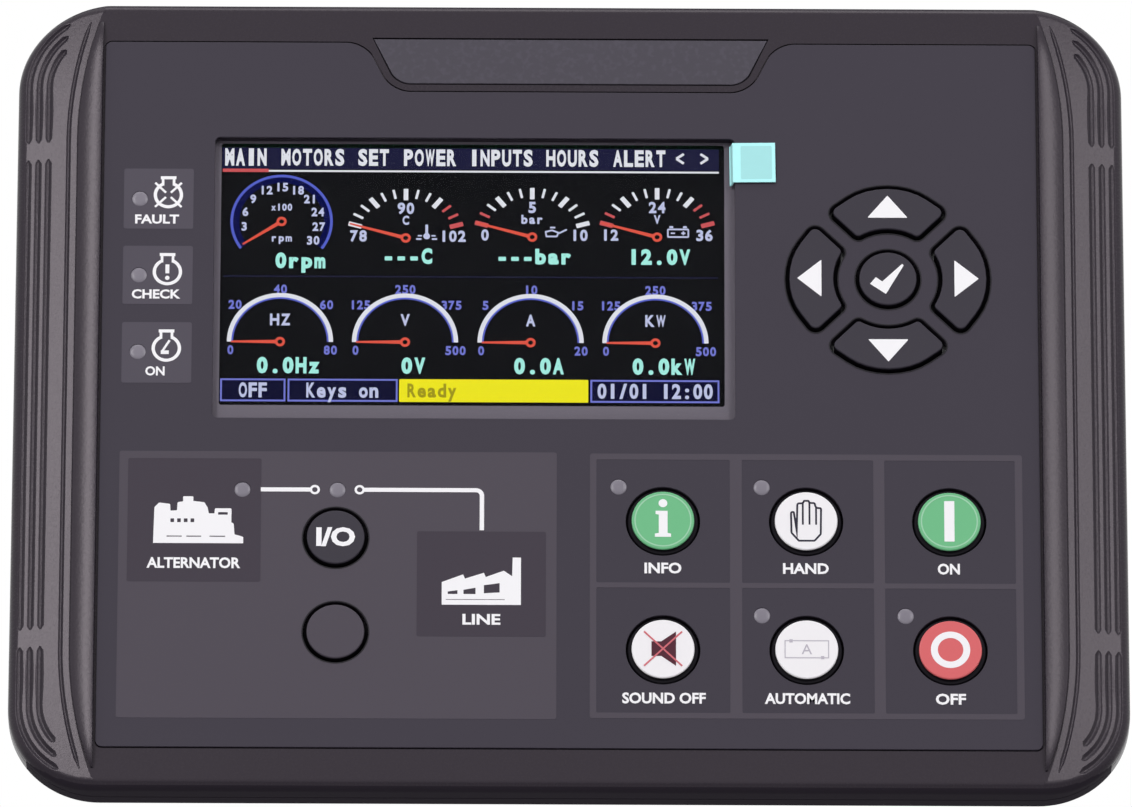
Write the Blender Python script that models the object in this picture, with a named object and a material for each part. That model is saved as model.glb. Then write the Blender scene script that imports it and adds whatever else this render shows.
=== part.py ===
"""Generator controller: a panel-mount front with screen and keys, on a rear housing.

The front looks along -Y, +X is to its right and +Z is up. The origin is the centre of the panel cut-out,
on the front face of the panel that the controller is fixed to. A depth is measured from that face towards
the user, so a point at a depth lies at y = -depth, and what is behind the panel has a negative depth.
"""

import math

import bmesh
import bpy
from mathutils import Matrix, Vector

MM = 0.001

# Fits
GAP = 0.3 * MM  # between pieces that rest on each other
CUT_PAST = 1.0 * MM  # how far a cutter runs past the face that it cuts

# Front rim
FRONT_WIDTH = 242 * MM
FRONT_HEIGHT = 186 * MM
FRONT_CORNER = 22.5 * MM
FACE_DEPTH = 10.5 * MM
RIM_ROUND = 2.2 * MM
FLANK_WIDTH = 11.8 * MM  # from the rim's side edge
FLANK_SLOPE = math.radians(12)  # how far the flanks lean back towards the sides
GASKET_THICKNESS = 1.5 * MM
GASKET_INSET = 2.0 * MM
WEB_THICKNESS = 2.4 * MM

# Printed overlay and its recess
OVERLAY_MARGIN_X = 19.0 * MM
OVERLAY_MARGIN_Z = 9.5 * MM
OVERLAY_CORNER = 1.5 * MM
OVERLAY_THICKNESS = 0.4 * MM
OVERLAY_PROUD = 0.2 * MM

# Name plate at the top, and the notch that the overlay leaves round it
PLATE_TOP_HALF = 43.2 * MM
PLATE_BOTTOM_HALF = 38.0 * MM
PLATE_HEIGHT = 10.7 * MM
PLATE_DROP = 8.5 * MM  # from the rim's top edge to the plate's top edge
PLATE_THICKNESS = 0.8 * MM
PLATE_CORNER = 4.5 * MM
NOTCH_RIM = 2.1 * MM  # face left between the plate and the overlay
NOTCH_CORNER = 6.5 * MM

# Grip ridges and grooves at both sides
RIDGE_INNER_MARGIN = 0.7 * MM  # from the overlay's edge
RIDGE_WIDTH = 5.2 * MM
RIDGE_HEIGHT = 2.1 * MM
RIDGE_TIP_MARGIN = 4.6 * MM  # from the rim's top edge
RIDGE_STRAIGHT_HALF = 60 * MM
RIDGE_CURVE = 92 * MM
RIDGE_STATIONS = (0.0, 0.4, 0.7, 0.88, 0.96, 1.0)  # sections between the straight stretch and a tip
RIDGE_TIP_SHARE = 0.3  # of the ridge's width and height, left at its tip
RIDGE_STEPS = 8
GROOVE_INSETS = (2.6 * MM, 4.8 * MM, 7.0 * MM)  # from the rim's side edge
GROOVE_WIDTH = 0.9 * MM
GROOVE_DEPTH = 0.8 * MM
GROOVE_SPLIT = 57.7 * MM  # height of the bridges between the stretches
GROOVE_BRIDGE = 3.9 * MM
GROOVE_END_ANGLES = (60, 53, 43)

# Screen
SCREEN_CENTRE = (-20.85 * MM, 27.15 * MM)
SCREEN_OPENING = (113.7 * MM, 66.9 * MM)
SCREEN_CORNER = 1.2 * MM
SCREEN_LIP = 1.4 * MM
WINDOW_THICKNESS = 1.3 * MM
WINDOW_LAND = 2.2 * MM  # how far the window runs under the lip
FILM_THICKNESS = 0.2 * MM
FILM_MARGIN = 0.4 * MM
PANEL_THICKNESS = 1.3 * MM
PANEL_MARGIN = 3.0 * MM
BACKLIGHT_MARGIN = 4.5 * MM

# Pull tab of the film
TAB_LENGTH = 8.3 * MM
TAB_HEIGHT = 9.4 * MM
TAB_THICKNESS = 0.25 * MM
TAB_GRIP = 2.4 * MM  # stretch of the tab that is stuck to the film
TAB_DROP = 1.2 * MM  # from the opening's top edge to the tab's top edge

# Keys
KEY_TRAVEL = 1.0 * MM
KEY_PROUD = 1.0 * MM  # how far a key stands out of the overlay
KEY_EDGE = 0.35 * MM
SKIRT_WIDTH = 1.1 * MM
SKIRT_THICKNESS = 1.0 * MM
COLOUR_KEY_HOLE = 16.1 * MM
COLOUR_KEY_GAP = 0.4 * MM
COLOUR_KEY_RING = 1.25 * MM  # from the hole's edge to the coloured disc
COLOUR_KEY_STEP = 0.5 * MM  # depth of the collar below the overlay
DARK_KEY_HOLE = 14.2 * MM
DARK_KEY_GAP = 0.85 * MM
KEY_COLUMN = 20.2 * MM
KEY_COLUMN_PITCH = 31.0 * MM
KEY_ROW = -30.4 * MM
KEY_ROW_PITCH = 30.1 * MM
CHANGEOVER_PLACE = (-50.6 * MM, -34.6 * MM)
BLANK_KEY_PLACE = (-50.5 * MM, -56.7 * MM)

# Direction pad: four sector keys round one round key
PAD_CENTRE = (69.3 * MM, 27.1 * MM)
PAD_INNER_RADIUS = 11.0 * MM
PAD_OUTER_RADIUS = 22.6 * MM
PAD_SPOKE_HALF = 1.5 * MM  # half of the web between two sector keys
PAD_SLOPE = math.radians(36)
PAD_BROW = 15.3 * MM  # radius of the outer edge's middle
PAD_CORNER = 2.4 * MM
PAD_HEEL = 1.9 * MM
PAD_KEY_GAP = 0.9 * MM
SKIRT_SPOKE = 3.6 * MM  # half of the space between the skirts of two sector keys

# Lamp windows
LAMP_RADIUS = 1.5 * MM
LAMP_COLLAR = 1.0 * MM
LAMP_KEY_REACH = 4.5 * MM  # from the edge of a key's hole
LAMP_KEY_DIRECTION = math.radians(140)
LAMP_COLUMN = -94.0 * MM
LAMP_TOP = 45.7 * MM
LAMP_PITCH = 18.25 * MM
GENERATOR_LAMP = (-70.9 * MM, -23.3 * MM)
CONTACTOR_LAMP = (-50.3 * MM, -23.3 * MM)

# Stack behind the web
MAT_THICKNESS = 1.0 * MM
BOARD_THICKNESS = 1.6 * MM

# Rear housing
SEAT_MARGIN_X = 15.0 * MM  # from the rim's edge to the housing, the seat on the panel
SEAT_MARGIN_Z = 14.0 * MM
COVER_CORNER = 4.0 * MM
COVER_WALL = 2.2 * MM
COVER_DEPTH = 30.0 * MM
POCKET_STEP = 2.3 * MM  # how far the rim stands inside the housing's inner walls
POST_SIDE = 8.6 * MM
GASKET_INNER_GAP = 1.4 * MM
MAIN_BOARD_BACK = 16.0 * MM
VENT_COUNT = 6
VENT_PITCH = 6.0 * MM
VENT_SIZE = (2.4 * MM, 18.0 * MM)
VENT_PLACES = ((-62.0 * MM, 0.0), (62.0 * MM, 0.0))

# Cover screws
SCREW_RADIUS = 1.5 * MM
SCREW_HEAD_RADIUS = 2.8 * MM
SCREW_HEAD_HEIGHT = 1.9 * MM
SCREW_GRIP = 6.0 * MM  # of the post, under the head
SCREW_BITE = 5.0 * MM  # into the rim's boss
SCREW_DRIVE_RADIUS = 1.3 * MM
SCREW_DRIVE_DEPTH = 1.1 * MM

# Mounting clips
CLIP_PLACES_Z = (-40.0 * MM, 40.0 * MM)
CLIP_WIDTH = 14.0 * MM
CLIP_THICKNESS = 1.6 * MM
CLIP_START = 6.0 * MM  # behind the panel
CLIP_LENGTH = 20.0 * MM
CLIP_HEIGHT = 11.4 * MM
CLIP_HOOK_LENGTH = 5.0 * MM
CLIP_HOOK_REACH = 3.0 * MM
CLIP_SCREW_RADIUS = 2.0 * MM
CLIP_SCREW_HEAD_RADIUS = 3.5 * MM
CLIP_SCREW_HEAD = 2.8 * MM
CLIP_SCREW_LENGTH = 24.0 * MM
CLIP_PANEL = 3.0 * MM  # panel thickness that the clip screws are set to

# Terminals: name, centre, number of ways
TERMINAL_ROW_TOP = 58.0 * MM
TERMINAL_ROW_BOTTOM = -58.0 * MM
TERMINALS = (
    ("1", (-44.0 * MM, TERMINAL_ROW_TOP), 12),
    ("2", (44.0 * MM, TERMINAL_ROW_TOP), 10),
    ("3", (-44.0 * MM, TERMINAL_ROW_BOTTOM), 12),
    ("4", (44.0 * MM, TERMINAL_ROW_BOTTOM), 10),
)
TERMINAL_PITCH = 5.08 * MM
TERMINAL_END = 1.2 * MM
TERMINAL_HEIGHT = 9.0 * MM
TERMINAL_WALL = 1.0 * MM
HEADER_REACH = 11.5 * MM  # from the main board
HEADER_FLOOR = 5.0 * MM
PLUG_REACH = 5.5 * MM  # past the housing's back
WIRE_HOLE = (2.8 * MM, 3.2 * MM)
WIRE_HOLE_DEPTH = 6.0 * MM

# Sockets: inner width, inner height, inner depth
USB_PLACE = (-12.0 * MM, 30.0 * MM)
USB_SOCKET = (8.6 * MM, 7.8 * MM, 9.0 * MM)
NETWORK_PLACE = (12.0 * MM, 30.0 * MM)
NETWORK_SOCKET = (11.8 * MM, 8.4 * MM, 11.5 * MM)
SOCKET_WALL = 1.2 * MM
SOCKET_PROUD = 0.6 * MM

# Inside
RIBBON_WIDTH = 32.0 * MM
RIBBON_THICKNESS = 0.9 * MM
RIBBON_SWAY = 5.0 * MM
RIBBON_PLACE = (60.0 * MM, -20.0 * MM)
BATTERY_RADIUS = 8.0 * MM
BATTERY_THICKNESS = 3.2 * MM
BATTERY_PLACE = (-60.0 * MM, 20.0 * MM)

# Segments of round shapes
ROUND_STEPS = 20
SMALL_STEPS = 12
CORNER_STEPS = 3
NOTCH_STEPS = 4
RIM_STEPS = 7
PAD_ARC_STEPS = 6
GROOVE_ARC_STEPS = 5
RIBBON_STEPS = 8

# Depths worked out from the sizes above
RIM_BACK = GASKET_THICKNESS + GAP
OVERLAY_FRONT = FACE_DEPTH + OVERLAY_PROUD
OVERLAY_BACK = OVERLAY_FRONT - OVERLAY_THICKNESS
RECESS_FLOOR = OVERLAY_BACK - GAP
WEB_BACK = RECESS_FLOOR - WEB_THICKNESS
LIP_BACK = RECESS_FLOOR - SCREEN_LIP
WINDOW_FRONT = LIP_BACK - GAP
WINDOW_BACK = WINDOW_FRONT - WINDOW_THICKNESS
PANEL_FRONT = WINDOW_BACK - GAP
PANEL_BACK = PANEL_FRONT - PANEL_THICKNESS
SKIRT_FRONT = WEB_BACK - GAP
SKIRT_BACK = SKIRT_FRONT - SKIRT_THICKNESS
MAT_FRONT = SKIRT_BACK - KEY_TRAVEL - GAP
MAT_BACK = MAT_FRONT - MAT_THICKNESS
BOARD_FRONT = MAT_BACK - GAP
BOARD_BACK = BOARD_FRONT - BOARD_THICKNESS
KEY_TOP = OVERLAY_FRONT + KEY_PROUD
COVER_FRONT = RIM_BACK - GAP

# Half sizes worked out from the sizes above
FRONT_HALF = (FRONT_WIDTH / 2, FRONT_HEIGHT / 2)
FLANK_START = FRONT_HALF[0] - FLANK_WIDTH
OVERLAY_HALF = (FRONT_HALF[0] - OVERLAY_MARGIN_X, FRONT_HALF[1] - OVERLAY_MARGIN_Z)
COVER_HALF = (FRONT_HALF[0] - SEAT_MARGIN_X, FRONT_HALF[1] - SEAT_MARGIN_Z)
COVER_INNER_HALF = (COVER_HALF[0] - COVER_WALL, COVER_HALF[1] - COVER_WALL)
POCKET_HALF = (COVER_INNER_HALF[0] - POCKET_STEP, COVER_INNER_HALF[1] - POCKET_STEP)
POST_CENTRE = (POCKET_HALF[0] - POST_SIDE / 2, POCKET_HALF[1] - POST_SIDE / 2)

DARK_KEY_RADIUS = DARK_KEY_HOLE / 2 - DARK_KEY_GAP
PLATE_TOP = FRONT_HALF[1] - PLATE_DROP
PLATE_BOTTOM = PLATE_TOP - PLATE_HEIGHT


def clear_scene():
    for thing in list(bpy.data.objects):
        bpy.data.objects.remove(thing, do_unlink=True)


def make_material(name, colour, roughness, metallic=0.0, alpha=1.0):
    """A Principled material that several pieces may share."""
    found = bpy.data.materials.get(name)
    if found:
        return found
    made = bpy.data.materials.new(name)
    made.use_nodes = True
    shader = made.node_tree.nodes["Principled BSDF"]
    shader.inputs["Base Color"].default_value = (*colour, 1.0)
    shader.inputs["Roughness"].default_value = roughness
    shader.inputs["Metallic"].default_value = metallic
    shader.inputs["Alpha"].default_value = alpha
    return made


def moulding():
    return make_material("dark moulding", (0.058, 0.048, 0.06), 0.5)


def overlay_print():
    return make_material("overlay print", (0.062, 0.055, 0.066), 0.6)


def key_rubber():
    return make_material("key rubber", (0.045, 0.04, 0.05), 0.55)


def key_colour(name, colour):
    return make_material(name, colour, 0.35)


def housing_plastic():
    return make_material("housing plastic", (0.03, 0.03, 0.033), 0.6)


def zinc_plated():
    return make_material("zinc plated steel", (0.62, 0.62, 0.6), 0.35, metallic=1.0)


def board_laminate():
    return make_material("board laminate", (0.02, 0.16, 0.06), 0.45)


def terminal_plastic():
    return make_material("terminal plastic", (0.03, 0.22, 0.09), 0.5)


# Outlines: lists of (x, z) points, anticlockwise as the user sees them


def fillet(before, corner, after, radius, steps):
    """The points of an arc that rounds one corner of an outline."""
    here = Vector(corner)
    back = (Vector(before) - here).normalized()
    ahead = (Vector(after) - here).normalized()
    half_angle = back.angle(ahead) / 2
    reach = radius / math.tan(half_angle)
    start = here + back * reach
    end = here + ahead * reach
    middle = here + (back + ahead).normalized() * (radius / math.sin(half_angle))
    first = start - middle
    turn = first.angle_signed(end - middle)
    points = []
    for step in range(steps + 1):
        arm = first.copy()
        arm.rotate(Matrix.Rotation(-turn * step / steps, 2))
        points.append(tuple(middle + arm))
    return points


def rounded(corners, steps=CORNER_STEPS):
    """An outline from (x, z, radius) corners, where a radius of 0 keeps the corner sharp."""
    points = []
    for index, (x, z, radius) in enumerate(corners):
        if radius <= 0:
            points.append((x, z))
            continue
        before = corners[index - 1][:2]
        after = corners[(index + 1) % len(corners)][:2]
        points.extend(fillet(before, (x, z), after, radius, steps))
    return points


def rectangle(half_x, half_z, radius=0.0, centre=(0.0, 0.0), steps=CORNER_STEPS):
    left, right = centre[0] - half_x, centre[0] + half_x
    low, high = centre[1] - half_z, centre[1] + half_z
    return rounded([(left, low, radius), (right, low, radius), (right, high, radius), (left, high, radius)], steps)


def notched_rectangle(half_x, half_z, notch):
    """A rectangle that leaves out a square at each corner."""
    quarter = [(half_x, half_z - notch), (half_x - notch, half_z - notch), (half_x - notch, half_z)]
    upper = quarter + [(-x, z) for x, z in reversed(quarter)]
    return upper + [(-x, -z) for x, z in upper]


def circle(radius, centre, steps=ROUND_STEPS):
    turns = [2 * math.pi * step / steps for step in range(steps)]
    return [(centre[0] + radius * math.cos(a), centre[1] + radius * math.sin(a)) for a in turns]


def placed(points, centre, quarter_turns=0):
    """An outline turned by quarter turns and moved to its centre."""
    for _ in range(quarter_turns):
        points = [(-z, x) for x, z in points]
    return [(centre[0] + x, centre[1] + z) for x, z in points]


# Solids


def object_from(name, shape, material, location=(0.0, 0.0, 0.0)):
    """Closes a bmesh into an object, with its faces pointing out."""
    bmesh.ops.recalc_face_normals(shape, faces=shape.faces)
    mesh = bpy.data.meshes.new(name)
    shape.to_mesh(mesh)
    shape.free()
    made = bpy.data.objects.new(name, mesh)
    bpy.context.scene.collection.objects.link(made)
    made.location = location
    if material:
        mesh.materials.append(material)
    return made


def pushed(shape, ring, path):
    """Adds a prism to a bmesh: a face over a ring of points, extruded along a path. Gives its far face."""
    face = shape.faces.new([shape.verts.new(point) for point in ring])
    grown = bmesh.ops.extrude_face_region(shape, geom=[face], use_keep_orig=True)
    new_verts = [item for item in grown["geom"] if isinstance(item, bmesh.types.BMVert)]
    new_faces = [item for item in grown["geom"] if isinstance(item, bmesh.types.BMFace)]
    bmesh.ops.translate(shape, verts=new_verts, vec=path)
    return new_faces[0]


def extruded(shape, outline, back, front):
    """Adds a plate with this outline to a bmesh, between two depths, and gives its front face."""
    return pushed(shape, [(x, -back, z) for x, z in outline], (0.0, back - front, 0.0))


def plate(name, outline, back, front, material, edge=0.0, edge_steps=1, location=(0.0, 0.0, 0.0)):
    """A plate with this outline between two depths, its front edge rounded where an edge is given."""
    shape = bmesh.new()
    face = extruded(shape, outline, back, front)
    if edge > 0:
        bmesh.ops.bevel(
            shape,
            geom=list(face.edges),
            offset=edge,
            segments=edge_steps,
            profile=0.5,
            affect="EDGES",
            material=-1,
        )
    return object_from(name, shape, material, location)


def plates(name, outlines_and_depths, material=None):
    """Several separate plates in one object, for use as a cutter."""
    shape = bmesh.new()
    for outline, back, front in outlines_and_depths:
        extruded(shape, outline, back, front)
    return object_from(name, shape, material)


def turned(name, profile, centre, material, steps=ROUND_STEPS):
    """A turned piece: (radius, depth) points, spun about an axis along Y through its centre."""
    shape = bmesh.new()
    points = [shape.verts.new((radius, -depth, 0.0)) for radius, depth in profile]
    edges = [shape.edges.new(pair) for pair in zip(points, points[1:])]
    bmesh.ops.spin(
        shape,
        geom=points + edges,
        cent=(0.0, 0.0, 0.0),
        axis=(0.0, 1.0, 0.0),
        angle=2 * math.pi,
        steps=steps,
        use_merge=True,
    )
    bmesh.ops.remove_doubles(shape, verts=shape.verts, dist=1e-6)
    made = object_from(name, shape, material, (centre[0], 0.0, centre[1]))
    made.data.shade_smooth()
    made.data.set_sharp_from_angle(angle=math.radians(35))
    return made


def lofted(name, rings, material):
    """A closed skin over rings of equal numbers of points, capped at both ends."""
    shape = bmesh.new()
    loops = []
    for ring in rings:
        verts = [shape.verts.new(point) for point in ring]
        loops.append([shape.edges.new((verts[i - 1], verts[i])) for i in range(len(verts))])
    for first, second in zip(loops, loops[1:]):
        bmesh.ops.bridge_loops(shape, edges=first + second)
    bmesh.ops.holes_fill(shape, edges=loops[0] + loops[-1], sides=0)
    return object_from(name, shape, material)


def combine(target, tool, operation):
    tool.hide_render = True
    tool.display_type = "WIRE"
    step = target.modifiers.new(f"{operation.lower()} {tool.name}", "BOOLEAN")
    step.operation = operation
    step.solver = "EXACT"
    step.object = tool


def cut(target, tool):
    combine(target, tool, "DIFFERENCE")


def join(target, tool):
    combine(target, tool, "UNION")


# Places of the keys and lamps


def key_place(column, row):
    return (KEY_COLUMN + column * KEY_COLUMN_PITCH, KEY_ROW - row * KEY_ROW_PITCH)


COLOUR_KEYS = (
    ("key_info", key_place(0, 0), "green key", (0.16, 0.5, 0.25)),
    ("key_manual", key_place(1, 0), "white key", (0.8, 0.8, 0.78)),
    ("key_start", key_place(2, 0), "green key", (0.16, 0.5, 0.25)),
    ("key_mute", key_place(0, 1), "white key", (0.8, 0.8, 0.78)),
    ("key_auto", key_place(1, 1), "white key", (0.8, 0.8, 0.78)),
    ("key_stop", key_place(2, 1), "red key", (0.75, 0.09, 0.1)),
)
DARK_KEYS = (
    ("key_changeover", CHANGEOVER_PLACE),
    ("key_blank", BLANK_KEY_PLACE),
    ("key_enter", PAD_CENTRE),
)
SECTOR_KEYS = (("key_up", 0), ("key_left", 1), ("key_down", 2), ("key_right", 3))


def lamp_beside(key_centre):
    reach = COLOUR_KEY_HOLE / 2 + LAMP_KEY_REACH
    across, up = math.cos(LAMP_KEY_DIRECTION), math.sin(LAMP_KEY_DIRECTION)
    return (key_centre[0] + reach * across, key_centre[1] + reach * up)


LAMPS = (
    ("lamp_alarm", (LAMP_COLUMN, LAMP_TOP)),
    ("lamp_warning", (LAMP_COLUMN, LAMP_TOP - LAMP_PITCH)),
    ("lamp_running", (LAMP_COLUMN, LAMP_TOP - 2 * LAMP_PITCH)),
    ("lamp_generator", GENERATOR_LAMP),
    ("lamp_contactor", CONTACTOR_LAMP),
    ("lamp_info", lamp_beside(key_place(0, 0))),
    ("lamp_manual", lamp_beside(key_place(1, 0))),
    ("lamp_auto", lamp_beside(key_place(1, 1))),
    ("lamp_stop", lamp_beside(key_place(2, 1))),
)


def sector_outline(inset, steps=CORNER_STEPS):
    """The upper sector of the direction pad, about the pad's centre, drawn in from its hole by an inset."""
    inner = PAD_INNER_RADIUS + inset
    side = PAD_SPOKE_HALF + inset
    brow = PAD_BROW - inset
    heel_angle = math.radians(45) - math.asin(side / inner)
    heel = (inner * math.sin(heel_angle), inner * math.cos(heel_angle))
    peak = PAD_OUTER_RADIUS - inset + brow * (1 / math.cos(PAD_SLOPE) - 1)
    corner_x = (peak - side * math.sqrt(2)) / (1 + math.tan(PAD_SLOPE))
    corner = (corner_x, peak - corner_x * math.tan(PAD_SLOPE))
    arc = []
    for step in range(1, PAD_ARC_STEPS):
        angle = heel_angle * (1 - 2 * step / PAD_ARC_STEPS)
        arc.append((-inner * math.sin(angle), inner * math.cos(angle), 0.0))
    corners = [(-heel[0], heel[1], max(PAD_HEEL - inset, inset))]
    corners += arc
    corners.append((heel[0], heel[1], max(PAD_HEEL - inset, inset)))
    corners.append((corner[0], corner[1], PAD_CORNER - inset))
    corners.append((0.0, peak, brow))
    corners.append((-corner[0], corner[1], PAD_CORNER - inset))
    return rounded(corners, steps)


def face_holes(clearance):
    """The outlines of every key hole and lamp hole in the face, grown by a clearance."""
    outlines = [circle(COLOUR_KEY_HOLE / 2 + clearance, place) for _, place, _, _ in COLOUR_KEYS]
    outlines += [circle(DARK_KEY_HOLE / 2 + clearance, place) for _, place in DARK_KEYS]
    outlines += [placed(sector_outline(-clearance), PAD_CENTRE, turns) for _, turns in SECTOR_KEYS]
    outlines += [circle(LAMP_RADIUS + GAP + clearance, place, SMALL_STEPS) for _, place in LAMPS]
    return outlines


def overlay_outline(grow=0.0):
    """The overlay's edge, grown on all sides: its notch follows the name plate and narrows as the sheet grows."""
    half_x = OVERLAY_HALF[0] + grow
    half_z = OVERLAY_HALF[1] + grow
    slant = (PLATE_TOP_HALF - PLATE_BOTTOM_HALF) / PLATE_HEIGHT
    widen = (NOTCH_RIM - grow) * math.hypot(1, slant)
    bottom = PLATE_BOTTOM - NOTCH_RIM + grow
    half_bottom = PLATE_BOTTOM_HALF + slant * (bottom - PLATE_BOTTOM) + widen
    half_top = PLATE_BOTTOM_HALF + slant * (half_z - PLATE_BOTTOM) + widen
    corner = OVERLAY_CORNER + grow
    return rounded(
        [
            (-half_x, -half_z, corner),
            (half_x, -half_z, corner),
            (half_x, half_z, corner),
            (half_top, half_z, NOTCH_CORNER),
            (half_bottom, bottom, NOTCH_CORNER),
            (-half_bottom, bottom, NOTCH_CORNER),
            (-half_top, half_z, NOTCH_CORNER),
            (-half_x, half_z, corner),
        ],
        NOTCH_STEPS,
    )


def plate_outline(grow=0.0):
    return rounded(
        [
            (-PLATE_BOTTOM_HALF - grow, PLATE_BOTTOM - grow, PLATE_CORNER + grow),
            (PLATE_BOTTOM_HALF + grow, PLATE_BOTTOM - grow, PLATE_CORNER + grow),
            (PLATE_TOP_HALF + grow, PLATE_TOP + grow, 0.0),
            (-PLATE_TOP_HALF - grow, PLATE_TOP + grow, 0.0),
        ],
        NOTCH_STEPS,
    )


def screen_outline(grow=0.0, corner=SCREEN_CORNER):
    half_x, half_z = SCREEN_OPENING[0] / 2 + grow, SCREEN_OPENING[1] / 2 + grow
    return rectangle(half_x, half_z, corner, SCREEN_CENTRE, 2)


def ridge_rings(side):
    """Half-round sections along one grip ridge, which bends in and tapers towards both tips."""
    inner = OVERLAY_HALF[0] + RIDGE_INNER_MARGIN
    tip = FRONT_HALF[1] - RIDGE_TIP_MARGIN
    straight = min(RIDGE_STRAIGHT_HALF, tip - RIDGE_WIDTH)
    upper = [straight + (tip - straight) * part for part in RIDGE_STATIONS]
    root_depth = FACE_DEPTH - WEB_THICKNESS / 2
    rings = []
    for height in [-station for station in reversed(upper)] + upper:
        past = abs(height) - straight
        bend = RIDGE_CURVE - math.sqrt(RIDGE_CURVE**2 - past**2)
        left_over = 1 - past / (tip - straight)
        width = (RIDGE_WIDTH - bend) * min(1.0, RIDGE_TIP_SHARE + 3 * left_over)
        rise = RIDGE_HEIGHT * min(1.0, RIDGE_TIP_SHARE + 2 * left_over)
        ring = []
        for step in range(RIDGE_STEPS + 1):
            angle = math.pi * step / RIDGE_STEPS
            across = inner + (1 - math.cos(angle)) * width / 2
            ring.append((side * across, -(FACE_DEPTH - GAP + rise * math.sin(angle)), height))
        ring.append((side * (inner + width), -root_depth, height))
        ring.append((side * inner, -root_depth, height))
        rings.append(ring)
    return rings


def groove_paths(side):
    """Centre lines of the grip grooves: straight at the side, then round each corner."""
    paths = []
    arc_height = FRONT_HALF[1] - FRONT_CORNER
    for inset, end_angle in zip(GROOVE_INSETS, GROOVE_END_ANGLES):
        across = FRONT_HALF[0] - inset
        radius = FRONT_CORNER - inset
        low = GROOVE_SPLIT - GROOVE_BRIDGE / 2
        paths.append([(side * across, -low), (side * across, low)])
        for up in (1, -1):
            path = [(side * across, up * (GROOVE_SPLIT + GROOVE_BRIDGE / 2))]
            for step in range(GROOVE_ARC_STEPS + 1):
                angle = math.radians(end_angle) * step / GROOVE_ARC_STEPS
                centre = FRONT_HALF[0] - FRONT_CORNER
                x = centre + radius * math.cos(angle)
                z = arc_height + radius * math.sin(angle)
                path.append((side * x, up * z))
            paths.append(path)
    return paths


def add_groove(shape, path):
    """Adds a square-edged cutter along one groove to a bmesh."""
    rings = []
    for index, point in enumerate(path):
        ahead = Vector(path[min(index + 1, len(path) - 1)])
        behind = Vector(path[max(index - 1, 0)])
        along = (ahead - behind).normalized()
        across = Vector((-along.y, along.x)) * (GROOVE_WIDTH / 2)
        depth_here = flank_depth(point[0]) - GROOVE_DEPTH
        left, right = Vector(point) - across, Vector(point) + across
        top = FACE_DEPTH + CUT_PAST
        corners = [(left, depth_here), (right, depth_here), (right, top), (left, top)]
        rings.append([shape.verts.new((at.x, -depth, at.y)) for at, depth in corners])
    for first, second in zip(rings, rings[1:]):
        for i in range(4):
            shape.faces.new((first[i - 1], first[i], second[i], second[i - 1]))
    shape.faces.new(rings[0])
    shape.faces.new(rings[-1])


def flank_depth(x):
    """The depth of the rim's face this far to the side, on the flat or on the sloping flank."""
    return FACE_DEPTH - max(0.0, abs(x) - FLANK_START) * math.tan(FLANK_SLOPE)


# Pieces


def rim_blank(name):
    """The rim's solid body: a flat front, a flank that slopes back at each side, and a rounded edge."""
    shape = bmesh.new()
    extruded(shape, rectangle(*FRONT_HALF, FRONT_CORNER, steps=RIM_STEPS), RIM_BACK, FACE_DEPTH)
    for side in (-1, 1):
        bmesh.ops.bisect_plane(
            shape,
            geom=shape.verts[:] + shape.edges[:] + shape.faces[:],
            dist=1e-7,
            plane_co=(side * FLANK_START, 0.0, 0.0),
            plane_no=(1.0, 0.0, 0.0),
        )
    for vert in shape.verts:
        if vert.co.y < -RIM_BACK - GAP:
            vert.co.y = -flank_depth(vert.co.x)
    bmesh.ops.recalc_face_normals(shape, faces=shape.faces)
    front_faces = [face for face in shape.faces if face.normal.y < -0.5]
    rim_edges = [edge for edge in shape.edges if len(set(edge.link_faces) & set(front_faces)) == 1]
    bmesh.ops.bevel(
        shape, geom=rim_edges, offset=RIM_ROUND, segments=3, profile=0.5, affect="EDGES", material=-1
    )
    return object_from(name, shape, moulding())


def make_bezel():
    bezel = rim_blank("front_bezel")
    for side in (-1, 1):
        join(bezel, lofted(f"ridge_shape_{'left' if side < 0 else 'right'}", ridge_rings(side), None))
    grooves = bmesh.new()
    for side in (-1, 1):
        for path in groove_paths(side):
            add_groove(grooves, path)
    cut(bezel, object_from("groove_cutter", grooves, None))
    pocket = notched_rectangle(*POCKET_HALF, POST_SIDE)
    past_face = FACE_DEPTH + CUT_PAST
    cut(bezel, plates("overlay_recess_cutter", [(overlay_outline(GAP), RECESS_FLOOR, past_face)]))
    plate_floor = FACE_DEPTH - PLATE_THICKNESS - GAP
    cut(bezel, plates("plate_pocket_cutter", [(plate_outline(GAP), plate_floor, past_face)]))
    cut(bezel, plates("pocket_cutter", [(pocket, RIM_BACK - CUT_PAST, WEB_BACK)]))
    window_land = screen_outline(WINDOW_LAND + GAP, 0.0)
    cut(bezel, plates("window_rebate_cutter", [(window_land, WEB_BACK - CUT_PAST, LIP_BACK)]))
    through = [(outline, WEB_BACK - CUT_PAST, past_face) for outline in face_holes(0.0)]
    through.append((screen_outline(), WEB_BACK - CUT_PAST, past_face))
    cut(bezel, plates("face_hole_cutter", through))
    cut(bezel, screw_cutter("pilot_hole_cutter", SCREW_RADIUS, RIM_BACK - CUT_PAST, RIM_BACK + SCREW_BITE))


def make_overlay():
    sheet = plate("face_overlay", overlay_outline(), OVERLAY_BACK, OVERLAY_FRONT, overlay_print())
    holes = [(outline, OVERLAY_BACK - CUT_PAST, OVERLAY_FRONT + CUT_PAST) for outline in face_holes(0.0)]
    holes.append((screen_outline(), OVERLAY_BACK - CUT_PAST, OVERLAY_FRONT + CUT_PAST))
    cut(sheet, plates("overlay_hole_cutter", holes))


def make_name_plate():
    back = FACE_DEPTH - PLATE_THICKNESS
    plate("name_plate", plate_outline(), back, FACE_DEPTH, overlay_print())


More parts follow.
